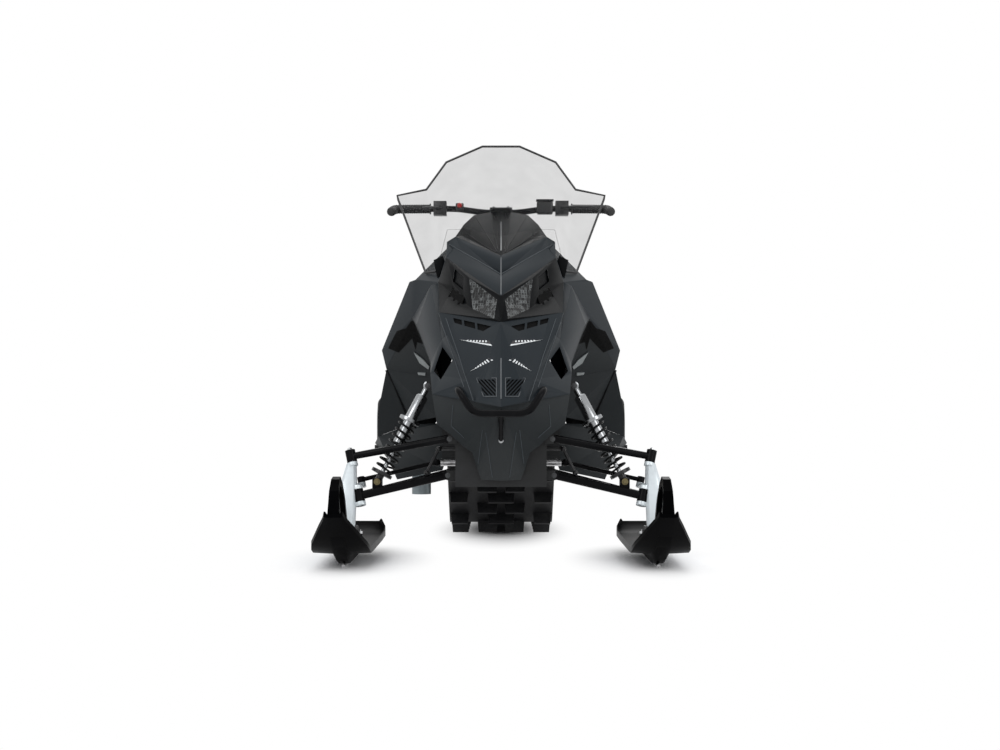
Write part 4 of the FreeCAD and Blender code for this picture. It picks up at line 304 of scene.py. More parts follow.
# Track: one loop of moulded rubber over fibreglass rods, with paddle lugs in staggered rows and
# steel clips on the guide windows. The rubber is black with a dusty bloom.
track_rubber = finish("track_rubber", (0.008, 0.008, 0.009), (0.024, 0.024, 0.023), 0.55, 0.2, wear=(14, 0.8),
                      grain=(700, 0.0006), shine=0.3)
dress(track_rubber, "track")


# Slide rails and skid arms: anodised aluminium rails with welded steel arms between them, all
# satin black. The arms turn on bolts through the tunnel's sides.
satin_black = finish("satin_black_metal", (0.01, 0.01, 0.011), (0.028, 0.029, 0.03), 0.36, 0.12, shine=0.35)
dress(satin_black, "slide_rails", "skid_arms")


# Skid wheels and drive axle: rubber tyres on moulded webs, pressed on steel axles. The toothed
# drivers on the front axle are moulded of the same black compound.
wheel_rubber = finish("wheel_rubber", (0.017, 0.017, 0.018), (0.05, 0.05, 0.05), 0.5, 0.15,
                      grain=(800, 0.0003))
dress(wheel_rubber, "idler_wheels", "bogie_wheels", "drive_axle")


# Front tub and tubes: folded and welded plate with bent steel tubes over it, all powder coated.
# The engine sits in the tub: one dull cast block.
WELD_GAP, FLAT_ANGLE, SMOOTH_ANGLE = 0.00002, 1.0, 35


def evaluated_mesh(piece):
    """The mesh that a curve, or an object with modifiers, comes out as."""
    return bpy.data.meshes.new_from_object(piece.evaluated_get(bpy.context.evaluated_depsgraph_get()))


def apply_modifiers(piece):
    """Turns the piece's modifiers into its mesh."""
    finished = evaluated_mesh(piece)
    piece.modifiers.clear()
    piece.data = finished


def eased(name, node, material, body="chassis", width=0.0012, segments=2, angle=12):
    """A node's own shape with its edges rounded off, as moulding and folding leave them."""
    form = bmesh.new()
    form.from_mesh(nodes[node].data)
    bmesh.ops.remove_doubles(form, verts=form.verts, dist=WELD_GAP)
    bmesh.ops.dissolve_limit(form, angle_limit=math.radians(FLAT_ANGLE), verts=form.verts, edges=form.edges)
    piece = new_piece(name, mesh_of(form), material, body)
    bevel = piece.modifiers.new("ease", "BEVEL")
    bevel.width = width
    bevel.segments = segments
    bevel.limit_method = "ANGLE"
    bevel.angle_limit = math.radians(angle)
    apply_modifiers(piece)
    smooth_round(piece, SMOOTH_ANGLE)
    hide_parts(node)
    return piece


dress(powder_coat, "front_tub", "frame_tubes")
cast_metal = finish("cast_metal", (0.11, 0.115, 0.12), (0.05, 0.05, 0.05), 0.6, 0.2, metallic=0.6,
                    grain=(260, 0.0008))
eased("engine_block", "engine", cast_metal, width=0.006)


# Suspension arms and sway bar: round steel tube with forged ends, bolted through their sleeves.
# The arms are gloss black, like the bumper and the handlebar, and the sway bar is satin.
gloss_black = finish("gloss_black_tube", (0.006, 0.006, 0.0065), (0.015, 0.015, 0.016), 0.2, 0.1,
                     grain=(900, 0.00006), shine=0.035)
dress(gloss_black, "upper_arms", "lower_arms")
dress(satin_black, "sway_bar")


# Shocks: brushed aluminium bodies on black lower mounts, each inside a coil spring of black coated
# wire. They bolt between the tub's towers and the lower arms.
SHOCK_TOP, SHOCK_FOOT, EYE_HALF = (0.232, -0.846, 0.545), (0.39, -0.886, 0.243), Vector((0, 0.015, 0))
SHOCK_BODY = [
    (0.006, 0.0095), (0.036, 0.0095), (0.0362, 0.016), (0.041, 0.0195), (0.12, 0.0195), (0.1202, 0.0345),
    (0.1298, 0.0345), (0.13, 0.0165), (0.205, 0.0165), (0.2075, 0.014), (0.2077, 0.007), (0.3085, 0.007),
    (0.3087, 0.0345), (0.319, 0.0345), (0.3192, 0.0115), (0.333, 0.0115),
]
EYE_PROFILE = [(0, 0.013), (0.001, 0.0145), (0.029, 0.0145), (0.03, 0.013)]
SHOCK_MOUNT_TOP = 0.315


def two_tone(piece, second, chosen):
    """Gives the faces whose middles pass the test a second finish."""
    piece.data.materials.append(second)
    last = len(piece.data.materials) - 1
    for polygon in piece.data.polygons:
        if chosen(polygon.center):
            polygon.material_index = last


def skinned(form, rings):
    """Closes a run of rings into a solid: walls between them and a face over either end."""
    for first, second in zip(rings, rings[1:]):
        for step in range(len(first)):
            ahead = (step + 1) % len(first)
            form.faces.new((first[step], first[ahead], second[ahead], second[step]))
    form.faces.new(list(reversed(rings[0])))
    form.faces.new(rings[-1])


def turned(form, start, end, profile, sides=24):
    """Spins a profile of (distance along, radius) round the line from start to end."""
    axis = (end - start).normalized()
    turn = axis.to_track_quat("Z", "Y").to_matrix()
    angles = [2 * math.pi * step / sides for step in range(sides)]
    spokes = [turn @ Vector((math.cos(angle), math.sin(angle), 0)) for angle in angles]
    skinned(form, [[form.verts.new(start + axis * along + spoke * radius) for spoke in spokes]
                   for along, radius in profile])


def flip(place, side):
    """The place itself for a side of 1, and its mirror image for -1."""
    return Vector((place[0] * side, *place[1:]))


def pair(line):
    """The mirror image of a line of places, and the line itself."""
    return [[flip(place, side) for place in line] for side in (-1, 1)]


brushed_alloy = finish("brushed_alloy", (0.3, 0.31, 0.32), (0.17, 0.18, 0.19), 0.24, 0.16, metallic=1.0,
                       wear=(22, 0.6), grain=(1200, 0.0001))
shock_form = bmesh.new()
for top, foot in pair([SHOCK_TOP, SHOCK_FOOT]):
    turned(shock_form, top, foot, SHOCK_BODY)
    for eye in (top, foot):
        turned(shock_form, eye - EYE_HALF, eye + EYE_HALF, EYE_PROFILE)
shock_bodies = form_piece("shock_bodies", shock_form, brushed_alloy)
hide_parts("shocks")
two_tone(shock_bodies, satin_black, lambda centre: centre.z < SHOCK_MOUNT_TOP)
eased("skid_dampers", "skid_shocks", brushed_alloy, width=0.0008, segments=1, angle=40)
spring_paint = finish("spring_coat", (0.004, 0.004, 0.0045), (0.012, 0.012, 0.0125), 0.34, 0.12, shine=0.1)
dress(spring_paint, "shock_springs")


# Spindles: forged aluminium uprights in silver paint, tapered toward the top, forked round the
# lower ball joint. A flat band is machined across each where its two halves meet.
BAND_LOW, BAND_HIGH = 0.19, 0.228
spindle_silver = finish("spindle_silver", (0.66, 0.71, 0.73), (0.45, 0.49, 0.51), 0.38, 0.14, metallic=0.25,
                        wear=(16, 0.55), grain=(520, 0.00025))
spindle_bright = finish("spindle_band", (0.9, 0.94, 0.95), (0.72, 0.76, 0.77), 0.32, 0.12, metallic=0.3,
                        wear=(16, 0.4), grain=(520, 0.0002))
for hand in ("left", "right"):
    upright = eased(f"upright_{hand}", f"spindle_{hand}", spindle_silver, f"{hand}_ski", width=0.0016,
                    angle=25)
    two_tone(upright, spindle_bright, lambda centre: BAND_LOW < centre.z < BAND_HIGH)


# Skis: moulded plastic, gloss black, each with a moulded handle band that rises from the deck to
# the tip. A steel wear rod lies under the keel, and a rubber saddle holds the blade on its bolt.
SKI_MIDDLE, SKI_HALF, SKI_BASE, SKI_WALL, SKI_LIP = 0.47, 0.086, 0.043, 0.009, 0.022
SKI_AHEAD, SKI_BEHIND, KEEL_HALF, KEEL_LOW, SPINDLE_AT = 0.55, 0.49, 0.017, 0.0103, -0.93
SKI_SHARES = [
    (-1, 0.72, 1.8, 0.1), (-0.9, 0.9, 1.25, 0.5), (-0.71, 0.98, 1.02, 0.9), (-0.355, 1, 1, 1), (0.4, 1, 1, 1),
    (0.52, 1, 1.05, 0.55), (0.61, 1, 1.35, 0.16), (0.69, 0.94, 1.75, 0.05), (0.78, 0.76, 2.35, 0.02),
    (0.87, 0.57, 3, 0.01), (0.95, 0.38, 3.6, 0.01), (1, 0.31, 4, 0.01),
]
HANDLE_TOP, HANDLE_FOOT_HALF, HANDLE_TOP_HALF, HANDLE_TAPER_FROM = 0.281, 0.019, 0.011, 0.15
HANDLE_OUTER = [
    (0.5, 0.172), (0.55, 0.45), (0.63, 0.74), (0.72, 0.92), (0.81, 1), (0.9, 0.98), (0.97, 0.87),
    (0.99, 0.63), (0.95, 0.567), (0.88, 0.475), (0.8, 0.375), (0.72, 0.283), (0.65, 0.222), (0.57, 0.176),
]
HANDLE_INNER = [
    (0.6, 0.36), (0.625, 0.5), (0.68, 0.71), (0.75, 0.85), (0.82, 0.91), (0.885, 0.895), (0.93, 0.81),
    (0.935, 0.7), (0.89, 0.6), (0.82, 0.5), (0.74, 0.4), (0.66, 0.33),
]


def ski_ring(form, side, ahead, width, base_share, low):
    """One cut across the blade: keel, sole, rolled edges and deck."""
    base, half = SKI_BASE * base_share, SKI_HALF * width
    lip = SKI_WALL + (SKI_LIP - SKI_WALL) * (low + 1) / 2
    outline = [(KEEL_HALF, base - (base - KEEL_LOW) * low), (KEEL_HALF + SKI_WALL, base),
               (half, base + SKI_WALL / 3), (half, base + lip), (half - SKI_WALL / 2, base + lip),
               (half - SKI_WALL, base + SKI_WALL)]
    outline += [(-out, up) for out, up in reversed(outline)]
    along = SPINDLE_AT - ahead * (SKI_AHEAD if ahead > 0 else SKI_BEHIND)
    return [form.verts.new(((SKI_MIDDLE + out) * side, along, up)) for out, up in outline]


def handle_band(form, side):
    """The handle: a closed upright band, narrower at its top, that rises from the deck to the tip."""
    band = bmesh.new()
    for loop in (HANDLE_OUTER, HANDLE_INNER):
        corners = [band.verts.new((0, SPINDLE_AT - ahead * SKI_AHEAD, up * HANDLE_TOP)) for ahead, up in loop]
        for first, second in zip(corners, corners[1:] + corners[:1]):
            band.edges.new((first, second))
    rim = list(band.edges)
    bmesh.ops.triangle_fill(band, edges=rim)
    cheeks = []
    for sign in (-1, 1):
        cheek = {}
        for corner in band.verts:
            share = max(0, corner.co.z - HANDLE_TAPER_FROM) / (HANDLE_TOP - HANDLE_TAPER_FROM)
            half = HANDLE_FOOT_HALF + (HANDLE_TOP_HALF - HANDLE_FOOT_HALF) * share
            cheek[corner] = form.verts.new((SKI_MIDDLE * side + sign * half, corner.co.y, corner.co.z))
        cheeks.append(cheek)
        for face in band.faces:
            form.faces.new([cheek[corner] for corner in face.verts])
    near, far = cheeks
    for edge in rim:
        first, second = edge.verts
        form.faces.new((near[first], near[second], far[second], far[first]))
    band.free()


ski_gloss = finish("ski_gloss_black", (0.0012, 0.0012, 0.0014), (0.0035, 0.0035, 0.004), 0.3, 0.08,
                   wear=(12, 0.35), grain=(420, 0.00008), shine=0.006)
wear_steel = finish("wear_rod_steel", (0.45, 0.45, 0.46), (0.2, 0.19, 0.18), 0.3, 0.2, metallic=1.0,
                    wear=(40, 0.8))
soft_rubber = finish("saddle_rubber", (0.02, 0.02, 0.021), (0.06, 0.06, 0.058), 0.55, 0.15, wear=(25, 0.6))
for hand, side in (("left", 1), ("right", -1)):
    ski_form = bmesh.new()
    skinned(ski_form, [ski_ring(ski_form, side, *shares) for shares in SKI_SHARES])
    handle_band(ski_form, side)
    blade = form_piece(f"ski_blade_{hand}", ski_form, ski_gloss, f"{hand}_ski", angle=30)
    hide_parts(f"ski_{hand}")
    dress(wear_steel, f"runner_{hand}")
    eased(f"saddle_{hand}", f"ski_saddle_{hand}", soft_rubber, f"{hand}_ski", width=0.002)


# Tie rods and rack: drawn steel, the rods black with rod ends screwed in. The rack is left bright
# and slides across the tub in its bushes.
dress(gloss_black, "tie_rod_left", "tie_rod_right")
dress(wear_steel, "steering_rack")


# Bodywork: injection moulded panels in slate blue-grey, a soft satin that shows broad shading over
# the flats. Each panel's edges are rolled in, and screws hold it to the frame.
PANEL_EDGE, PANEL_FOLD = 0.0016, 10
slate = finish("slate_plastic", (0.011, 0.0152, 0.0188), (0.015, 0.0198, 0.0235), 0.4, 0.08,
               wear=(3.5, 0.7), grain=(1500, 0.00006), shine=0.15)
graphite = finish("graphite_plastic", (0.019, 0.0219, 0.0233), (0.0265, 0.0303, 0.032), 0.5, 0.12,
                  wear=(6, 0.6), grain=(1100, 0.0003), shine=0.16)
pod_black = finish("pod_plastic", (0.0036, 0.0041, 0.0044), (0.0056, 0.0062, 0.0066), 0.5, 0.12,
                   wear=(6, 0.6), grain=(1100, 0.0003), shine=0.03)
for name, node, plastic in (
    ("nose_shell", "nose_cowl", slate), ("brow_shell", "brow", slate), ("side_shells", "side_panels", slate),
    ("cheek_shells", "nose_cheeks", slate), ("belly_shell", "belly_pan", graphite),
    ("liner_shells", "side_liners", graphite), ("guard_shells", "foot_guards", graphite),
    ("console_shell", "console_pod", pod_black),
):
    eased(name, node, plastic, width=PANEL_EDGE, angle=PANEL_FOLD)


# Nose trim: raised rims round the grille, pale wedges set into the panels, a ridge strip, and painted shade:
# near-black sheets behind the openings. The wedges are printed film, pressed into shallow seats.
WEDGES = [((0.128, 0.686), (0.0275, 0.6645), (0.036, 0.6815), 7),
          ((0.093, 0.5875), (0.0235, 0.6205), (0.037, 0.627), 6)]
BACK_LIFT, TOOTH_LIFT, WEDGE_LIFT, WEDGE_SINK = 0.00045, 0.00081, 0.0009, 0.002
TOOTH_FROM, TOOTH_SPAN, TOOTH_FILL, TOOTH_LEAN, WEDGE_DEPTH = 0.2, 0.7, 0.5, 0.07, 0.3
NOSE_RAY_START, MIDDLE_NUDGE = -2.0, 0.0005
NOSE_CORNERS = [(0, -1.025, 0.74), (0.195, -0.89, 0.776), (0.168, -0.96, 0.702), (0.097, -1.1, 0.561),
                (0.078, -1.165, 0.494), (0, -1.192, 0.479)]
RIM_RADIUS, RIM_LIFT, RIDGE_RADIUS = 0.0013, 0.00052, 0.0024
GRILLE_RIM = [(0.0135, 0.51), (0.0135, 0.566), (0.074, 0.566), (0.0525, 0.51)]
SHEET_BACK, SHEET_THICK = 0.0048, 0.002
SHADE_SHEETS = [[(0.012, 0.508), (0.012, 0.568), (0.076, 0.568), (0.054, 0.508)],
           [(0.156, 0.7615), (0.025, 0.7295), (0.05, 0.707), (0.15, 0.735)]]
RIDGE_HEIGHTS = [0.626, 0.594, 0.548, 0.503]


def tube_piece(name, lines, radius, material, sides=4):
    """Round bar or trim bent along each line of points."""
    curve = bpy.data.curves.new(name, "CURVE")
    curve.dimensions = "3D"
    curve.bevel_depth = radius
    curve.bevel_resolution = sides
    curve.use_fill_caps = True
    for line in lines:
        spline = curve.splines.new("POLY")
        spline.points.add(len(line) - 1)
        for point, place in zip(spline.points, line):
            point.co = (*place, 1)
    drawn = new_object(name, curve)
    mesh = evaluated_mesh(drawn)
    bpy.data.objects.remove(drawn)
    bpy.data.curves.remove(curve)
    smooth_round(new_piece(name, mesh, material, "chassis"), 50)


def flats(corners, facets):
    """Plain facets on both sides of the machine, to lay things on."""
    points = corners + [flip(corner, -1) for corner in corners]
    far_facets = [tuple(index + len(corners) for index in facet) for facet in facets]
    return BVHTree.FromPolygons(points, facets + far_facets)


def on_face(surface, place, lift):
    """The point of the surface straight behind a place (across, up), lifted off it."""
    start = Vector((place[0], NOSE_RAY_START, place[1]))
    hit, facing, _, _ = surface.ray_cast(start, Vector((0, 1, 0)))
    if facing.y > 0:
        facing = -facing
    return hit + facing * lift


def traced(surface, runs, lift):
    """Lines on the surface along each run of places (across, up), on both sides of the machine."""
    return [[on_face(surface, flip(place, side), lift) for place in run] for side in (-1, 1) for run in runs]


def middle_line(surface, heights, lift):
    """A line on the surface down the machine's middle, through each height."""
    hits = [on_face(surface, (MIDDLE_NUDGE, height), lift) for height in heights]
    return [(0, hit.y, hit.z) for hit in hits]


def plates(name, surface, laid, material, sides=(-1, 1)):
    """Thin plates on the surface, each with its outline of places (across, up), its lift and its sink."""
    form = bmesh.new()
    for outline, lift, sink in laid:
        for side in sides:
            skinned(form, [[form.verts.new(on_face(surface, flip(place, side), depth)) for place in outline]
                           for depth in (lift, -sink)])
    form_piece(name, form, material)


def between(first, second, share):
    """The place a share of the way from the first to the second."""
    return tuple(a + (b - a) * share for a, b in zip(first, second))


nose_face = flats(NOSE_CORNERS, [(0, 1, 2), (0, 2, 3), (0, 3, 4), (0, 4, 5)])
black_films, white_films = [], []
for tip, heel, crest, teeth in WEDGES:
    black_films.append(([tip, heel, crest], BACK_LIFT, WEDGE_SINK))
    white_films.append(([tip, heel, between(heel, crest, WEDGE_DEPTH)], WEDGE_LIFT, WEDGE_SINK))
    for tooth in range(teeth):
        first = TOOTH_FROM + TOOTH_SPAN * tooth / teeth
        last = first + TOOTH_SPAN * TOOTH_FILL / teeth
        slant = [between(tip, heel, first), between(tip, heel, last),
                 between(tip, crest, last + TOOTH_LEAN), between(tip, crest, first + TOOTH_LEAN)]
        white_films.append((slant, TOOTH_LIFT, WEDGE_SINK))
shade_sheets = [(outline, -SHEET_BACK, SHEET_BACK + SHEET_THICK) for outline in SHADE_SHEETS]
film_white = finish("film_white", (0.72, 0.74, 0.74), (0.55, 0.57, 0.58), 0.4, 0.1, wear=(30, 0.4))
film_black = finish("film_black", (0.006, 0.006, 0.007), (0.014, 0.014, 0.015), 0.45, 0.1)
rim_grey = finish("rim_grey", (0.075, 0.082, 0.088), (0.11, 0.118, 0.124), 0.3, 0.1, wear=(60, 0.6))
# Painted shade: a near-black sheet with a coarse grain, set behind the openings of the nose and the lamps and
# over the shadowed inside of the side panels.
painted_shade_sheet = finish("painted_shade_sheet", (0.004, 0.004, 0.004), (0.012, 0.012, 0.012), 0.9, 0.1, wear=(420, 1.0),
                     grain=(300, 0.003), shine=0.1)
plates("wedge_film_black", nose_face, black_films, film_black)
plates("wedge_film_white", nose_face, white_films, film_white)
plates("nose_painted_shade", nose_face, shade_sheets, painted_shade_sheet)
rims = traced(nose_face, [GRILLE_RIM + GRILLE_RIM[:2]], RIM_LIFT)
tube_piece("grille_rims", rims, RIM_RADIUS, rim_grey, sides=3)
ridge = middle_line(nose_face, RIDGE_HEIGHTS, 0)
tube_piece("nose_ridge", [ridge], RIDGE_RADIUS, rim_grey, sides=3)


# Side trim: painted shade, near-black skins laid over the panels at the air outlets under each flared side
# panel where its inside lies in shadow, pale heat shields on the liners behind the shocks, and a flat shield
# from each foot guard up to the panel, sealed with rubber.
LEAF_SHADE = [[(0.389, 0.679), (0.355, 0.735), (0.322, 0.743), (0.302, 0.766), (0.302, 0.71), (0.352, 0.664)],
              [(0.302, 0.766), (0.29, 0.764), (0.262, 0.69), (0.286, 0.698), (0.292, 0.672), (0.302, 0.71)]]
SHADE_LIFT, SHADE_PITCH, SHADE_ROUNDS = 0.0012, 0.008, 5
LINER_CORNERS = [(0.298, -0.55, 0.775), (0.4, -0.33, 0.608), (0.225, -0.377, 0.572)]
HEAT_SHIELDS = [[(0.298, 0.666), (0.279, 0.629), (0.25, 0.608), (0.245, 0.616), (0.264, 0.639)],
                [(0.288, 0.597), (0.261, 0.595), (0.262, 0.5865), (0.286, 0.59)]]
HEAT_LIFT, HEAT_SINK = 0.004, 0.001
GUARD_SHIELD = [(0.322, -0.284, 0.414), (0.4, -0.331, 0.606), (0.434, -0.29, 0.45), (0.432, -0.274, 0.372)]
SHIELD_SHEET = Vector((0, 0.003, 0))
SEAL_LINE = [(0.4, -0.329, 0.604), (0.36, -0.299, 0.512), (0.3215, -0.2705, 0.4225)]
SEAL_RADIUS = 0.0048


def skin_of(*names):
    """The surface of some nodes, to lay things on."""
    points, faces = [], []
    for name in names:
        mesh = nodes[name].data
        faces += [[index + len(points) for index in polygon.vertices] for polygon in mesh.polygons]
        points += [vertex.co.copy() for vertex in mesh.vertices]
    return BVHTree.FromPolygons(points, faces)


def draped(form, surface, outline, lift, pitch):
    """A thin skin laid over every bend of the surface, cut to an outline of places (across, up)."""
    skin = bmesh.new()
    skin.faces.new([skin.verts.new((across, 0, up)) for across, up in outline])
    bmesh.ops.triangulate(skin, faces=skin.faces)
    for _ in range(SHADE_ROUNDS):
        long = [edge for edge in skin.edges if edge.calc_length() > pitch]
        bmesh.ops.subdivide_edges(skin, edges=long, cuts=1)
        bmesh.ops.triangulate(skin, faces=[face for face in skin.faces if len(face.verts) > 3])
    laid = {corner: form.verts.new(on_face(surface, corner.co.xz, lift)) for corner in skin.verts}
    for face in skin.faces:
        form.faces.new([laid[corner] for corner in face.verts])
    skin.free()


shield_grey = finish("heat_shield_grey", (0.28, 0.3, 0.3), (0.18, 0.19, 0.19), 0.42, 0.14, metallic=0.4,
                     wear=(40, 0.6))
seal_rubber = finish("seal_rubber", (0.01, 0.01, 0.011), (0.028, 0.028, 0.028), 0.55, 0.1, shine=0.15)
side_skin = skin_of("side_panels", "side_liners")
liner_face = flats(LINER_CORNERS, [(0, 1, 2)])
shade_form, guard_form = bmesh.new(), bmesh.new()
# Painted shade: each skin darkens the panels where the inside of the wing shows in shadow.
for shade_outline in pair(LEAF_SHADE[0]) + pair(LEAF_SHADE[1]):
    draped(shade_form, side_skin, shade_outline, SHADE_LIFT, SHADE_PITCH)
for near in pair(GUARD_SHIELD):
    skinned(guard_form, [[guard_form.verts.new(corner + shift) for corner in near]
                         for shift in (Vector(), SHIELD_SHEET)])
form_piece("leaf_painted_shade", shade_form, painted_shade_sheet)
form_piece("guard_shields", guard_form, graphite)
heat_plates = [(outline, HEAT_LIFT, HEAT_SINK) for outline in HEAT_SHIELDS]
plates("heat_shields", liner_face, heat_plates, shield_grey)
tube_piece("guard_seals", pair(SEAL_LINE), SEAL_RADIUS, seal_rubber)


# Panel edges: thin raised lips where the moulded panels meet or fold, painted a little lighter than the
# flats beside them as a highlight where the edges catch the light.
EDGE_RUNS = [
    [(0.173, 0.757), (0.131, 0.64), (0.083, 0.497)], [(0.2, 0.778), (0.15, 0.645), (0.112, 0.538)],
    [(0.056, 0.41), (0.07, 0.305)], [(0.046, 0.402), (0.027, 0.262)],
    [(0.146, 0.486), (0.152, 0.42), (0.112, 0.384)], [(0.172, 1.012), (0.08, 0.951), (0.001, 0.896)],
]
EDGE_STEPS, EDGE_LIFT, EDGE_RADIUS = 8, 0.0002, 0.0012
nose_skin = skin_of("nose_cowl", "nose_cheeks", "side_panels", "brow", "belly_pan")
edge_stops = [
    [between(first, second, step / EDGE_STEPS)
     for first, second in zip(run, run[1:]) for step in range(EDGE_STEPS)] + run[-1:] for run in EDGE_RUNS
]
# Painted highlight: the lips' lighter slate stands in for light caught along the edges.
edge_highlight_slate = finish("edge_highlight_slate", (0.036, 0.044, 0.05), (0.055, 0.064, 0.071), 0.36, 0.1, shine=0.3)
edges = traced(nose_skin, edge_stops, EDGE_LIFT)
tube_piece("panel_edge_highlights", edges, EDGE_RADIUS, edge_highlight_slate, sides=3)


# Console trim: a gauge under a small black hood at the top of the pod, a pale strip down its middle,
# thin black lines along the creases to either side, painted shading where the facets turn, and a second
# strip down the brow.
POD_CORNERS = [(0, -0.84, 0.96), (0, -0.43, 1.152), (0.093, -0.43, 1.135), (0.126, -0.51, 1.094),
               (0.131, -0.6, 1.047)]
GAUGE = [(0.026, 1.137), (0.021, 1.112), (-0.021, 1.112), (-0.026, 1.137)]
GAUGE_LIFT, GAUGE_SINK = 0.0012, 0.002
HOOD = ((-0.034, -0.462, 1.139), (0.034, -0.43, 1.154), 0.0045)
POD_STRIP_HEIGHTS, POD_STRIP_LIFT, POD_STRIP_RADIUS = [1.098, 1.06, 1.02, 0.978], 0.0004, 0.0021
BROW_STRIP, BROW_STRIP_RADIUS = [(0, -0.846, 0.952), (0, -0.9195, 0.888), (0, -0.9905, 0.826)], 0.0018
POD_CREASES = [[(0.086, 1.125), (0.05, 1.052), (0.012, 0.975)], [(0.03, 1.108), (0.026, 1.06), (0.01, 0.985)],
               [(0.12, 1.06), (0.065, 1.01), (0.016, 0.972)]]
CREASE_LIFT, CREASE_RADIUS = 0.0001, 0.0011


def housing(name, boxes, material, body="chassis", angle=50):
    """A moulded housing of rounded boxes, each with its low corner, its high corner and its edge radius."""
    form = bmesh.new()
    for low, high, radius in boxes:
        low, high = Vector(low), Vector(high)
        size = Matrix.Diagonal((*(high - low), 1))
        made = bmesh.ops.create_cube(form, size=1, matrix=Matrix.Translation((low + high) / 2) @ size)
        edges = list({edge for vertex in made["verts"] for edge in vertex.link_edges})
        bmesh.ops.bevel(form, geom=edges, offset=radius, segments=3, affect="EDGES", profile=0.6)
    form_piece(name, form, material, body, angle)


pod_face = flats(POD_CORNERS, [(0, 1, 2), (0, 2, 3), (0, 3, 4)])
gauge_glass = finish("gauge_glass", (0.0025, 0.0025, 0.003), (0.006, 0.006, 0.007), 0.1, 0.04, wear=(90, 0.6),
                     grain=(300, 0.0002), shine=0.12)
plates("gauge", pod_face, [(GAUGE, GAUGE_LIFT, GAUGE_SINK)], gauge_glass, sides=(1,))
housing("gauge_hood", [HOOD], pod_black)
pod_strip = middle_line(pod_face, POD_STRIP_HEIGHTS, POD_STRIP_LIFT)
tube_piece("pod_strip", [pod_strip], POD_STRIP_RADIUS, rim_grey, sides=3)
tube_piece("brow_strip", [BROW_STRIP], BROW_STRIP_RADIUS, rim_grey, sides=3)
# Painted shading: thin lines along the pod's creases mark where its facets turn and the light changes.
crease_shading_lines = traced(pod_face, POD_CREASES, CREASE_LIFT)
tube_piece("pod_crease_shading", crease_shading_lines, CREASE_RADIUS, seal_rubber, sides=3)


# Nose bumper: a bent steel tube, gloss black, bolted to the frame through the nose. A thin strut
# under its middle runs back to the belly pan and ends at a zinc plated bolt.
STRUT_LINE, STRUT_RADIUS = [(0, -1.214, 0.461), (0, -1.168, 0.425), (0, -1.11, 0.378)], 0.0065
STRUT_BOLT, STRUT_BOLT_AXIS, STRUT_BOLT_RADIUS = (0, -1.112, 0.377), (0, -1, 0.2), 0.008
dress(gloss_black, "front_bumper")
tube_piece("bumper_strut", [STRUT_LINE], STRUT_RADIUS, gloss_black)
dome_heads("strut_bolt", [(STRUT_BOLT, STRUT_BOLT_AXIS)], STRUT_BOLT_RADIUS, zinc)


# Headlights: a black moulded bezel round a clear lens on either side of the nose's ridge, with a
# smoked outer lamp and a louvre beside it, backed with a near-black sheet of painted shade. Behind the
# clear lens the reflector is pressed into rows of small square cells, their glints painted in.
LENS_CELL, LENS_RELIEF, LENS_STOPS = 0.0085, 0.002, (0.12, 0.5)
BEZEL_CORNERS = [(0.178, -0.73, 0.962), (0.205, -0.7, 0.886), (0.089, -0.91, 0.786), (0.101, -0.87, 0.887),
                 (0.195, -0.89, 0.776)]
OUTER_LAMP, OUTER_THICK = [(0.115, 0.896), (0.15, 0.929), (0.16, 0.88), (0.117, 0.843)], 0.004
LOUVRE_BACK = [(0.116, 0.842), (0.156, 0.872), (0.172, 0.827), (0.13, 0.797)]
LOUVRE_DEPTH = 0.00672


def cell_lens(name, dark, bright, cell):
    """A faceted reflector seen through its lens, its reflection painted: rows of square cells with bright and
    dark corners.
    """
    material, tree, shader = new_material(name, {
        "Coat Weight": 0.25, "Coat Roughness": 0.03, "Metallic": 0.2, "Specular IOR Level": 0.15,
        "Roughness": 0.22})
    place = add_node(tree, "TexCoord").outputs["Object"]
    cells = add_node(tree, "TexVoronoi", {"Vector": place, "Scale": 1 / cell, "Randomness": 0.0},
                     feature="F1", distance="CHEBYCHEV").outputs
    cell_glint = add_node(tree, "TexWhiteNoise", {"Vector": cells["Position"]})
    shade = add_node(tree, "Math", {0: cells["Distance"], 1: cell_glint.outputs["Value"]}, operation="MULTIPLY")
    ramp = add_node(tree, "ValToRGB", {"Fac": shade.outputs[0]})
    for stop, colour, position in zip(ramp.color_ramp.elements, (dark, bright), LENS_STOPS):
        stop.color = (*colour, 1)
        stop.position = position
    bump = add_node(tree, "Bump", {"Distance": LENS_RELIEF, "Height": cells["Distance"]})
    tree.links.new(ramp.outputs["Color"], shader.inputs["Base Color"])
    tree.links.new(bump.outputs["Normal"], shader.inputs["Normal"])
    return material


bezel_black = finish("bezel_black", (0.0025, 0.003, 0.0035), (0.006, 0.007, 0.008), 0.3, 0.12, shine=0.06)
smoke_lens = finish("smoke_lens", (0.003, 0.0035, 0.004), (0.009, 0.01, 0.011), 0.2, 0.05, wear=(120, 0.8),
                    grain=(380, 0.0008), shine=0.04)
# Painted reflection: the cells run from near black to pale grey by a random brightness each, standing in for
# the reflector's glints.
lens = cell_lens("headlight_lens", (0.003, 0.0034, 0.0038), (0.17, 0.18, 0.18), LENS_CELL)
bezel_face = flats(BEZEL_CORNERS, [(0, 1, 2), (0, 2, 3), (1, 4, 2)])
eased("lamp_bezel", "headlight_housing", bezel_black, angle=10)
outer_plate = (OUTER_LAMP, -SHEET_BACK, SHEET_BACK + OUTER_THICK)
louvre_plate = (LOUVRE_BACK, -LOUVRE_DEPTH, LOUVRE_DEPTH + SHEET_THICK)
plates("outer_lamps", bezel_face, [outer_plate], smoke_lens)
# Painted shade: the sheet behind the louvre stands in for the shadow inside it.
plates("louvre_painted_shade", bezel_face, [louvre_plate], painted_shade_sheet)
dress(lens, "headlights")


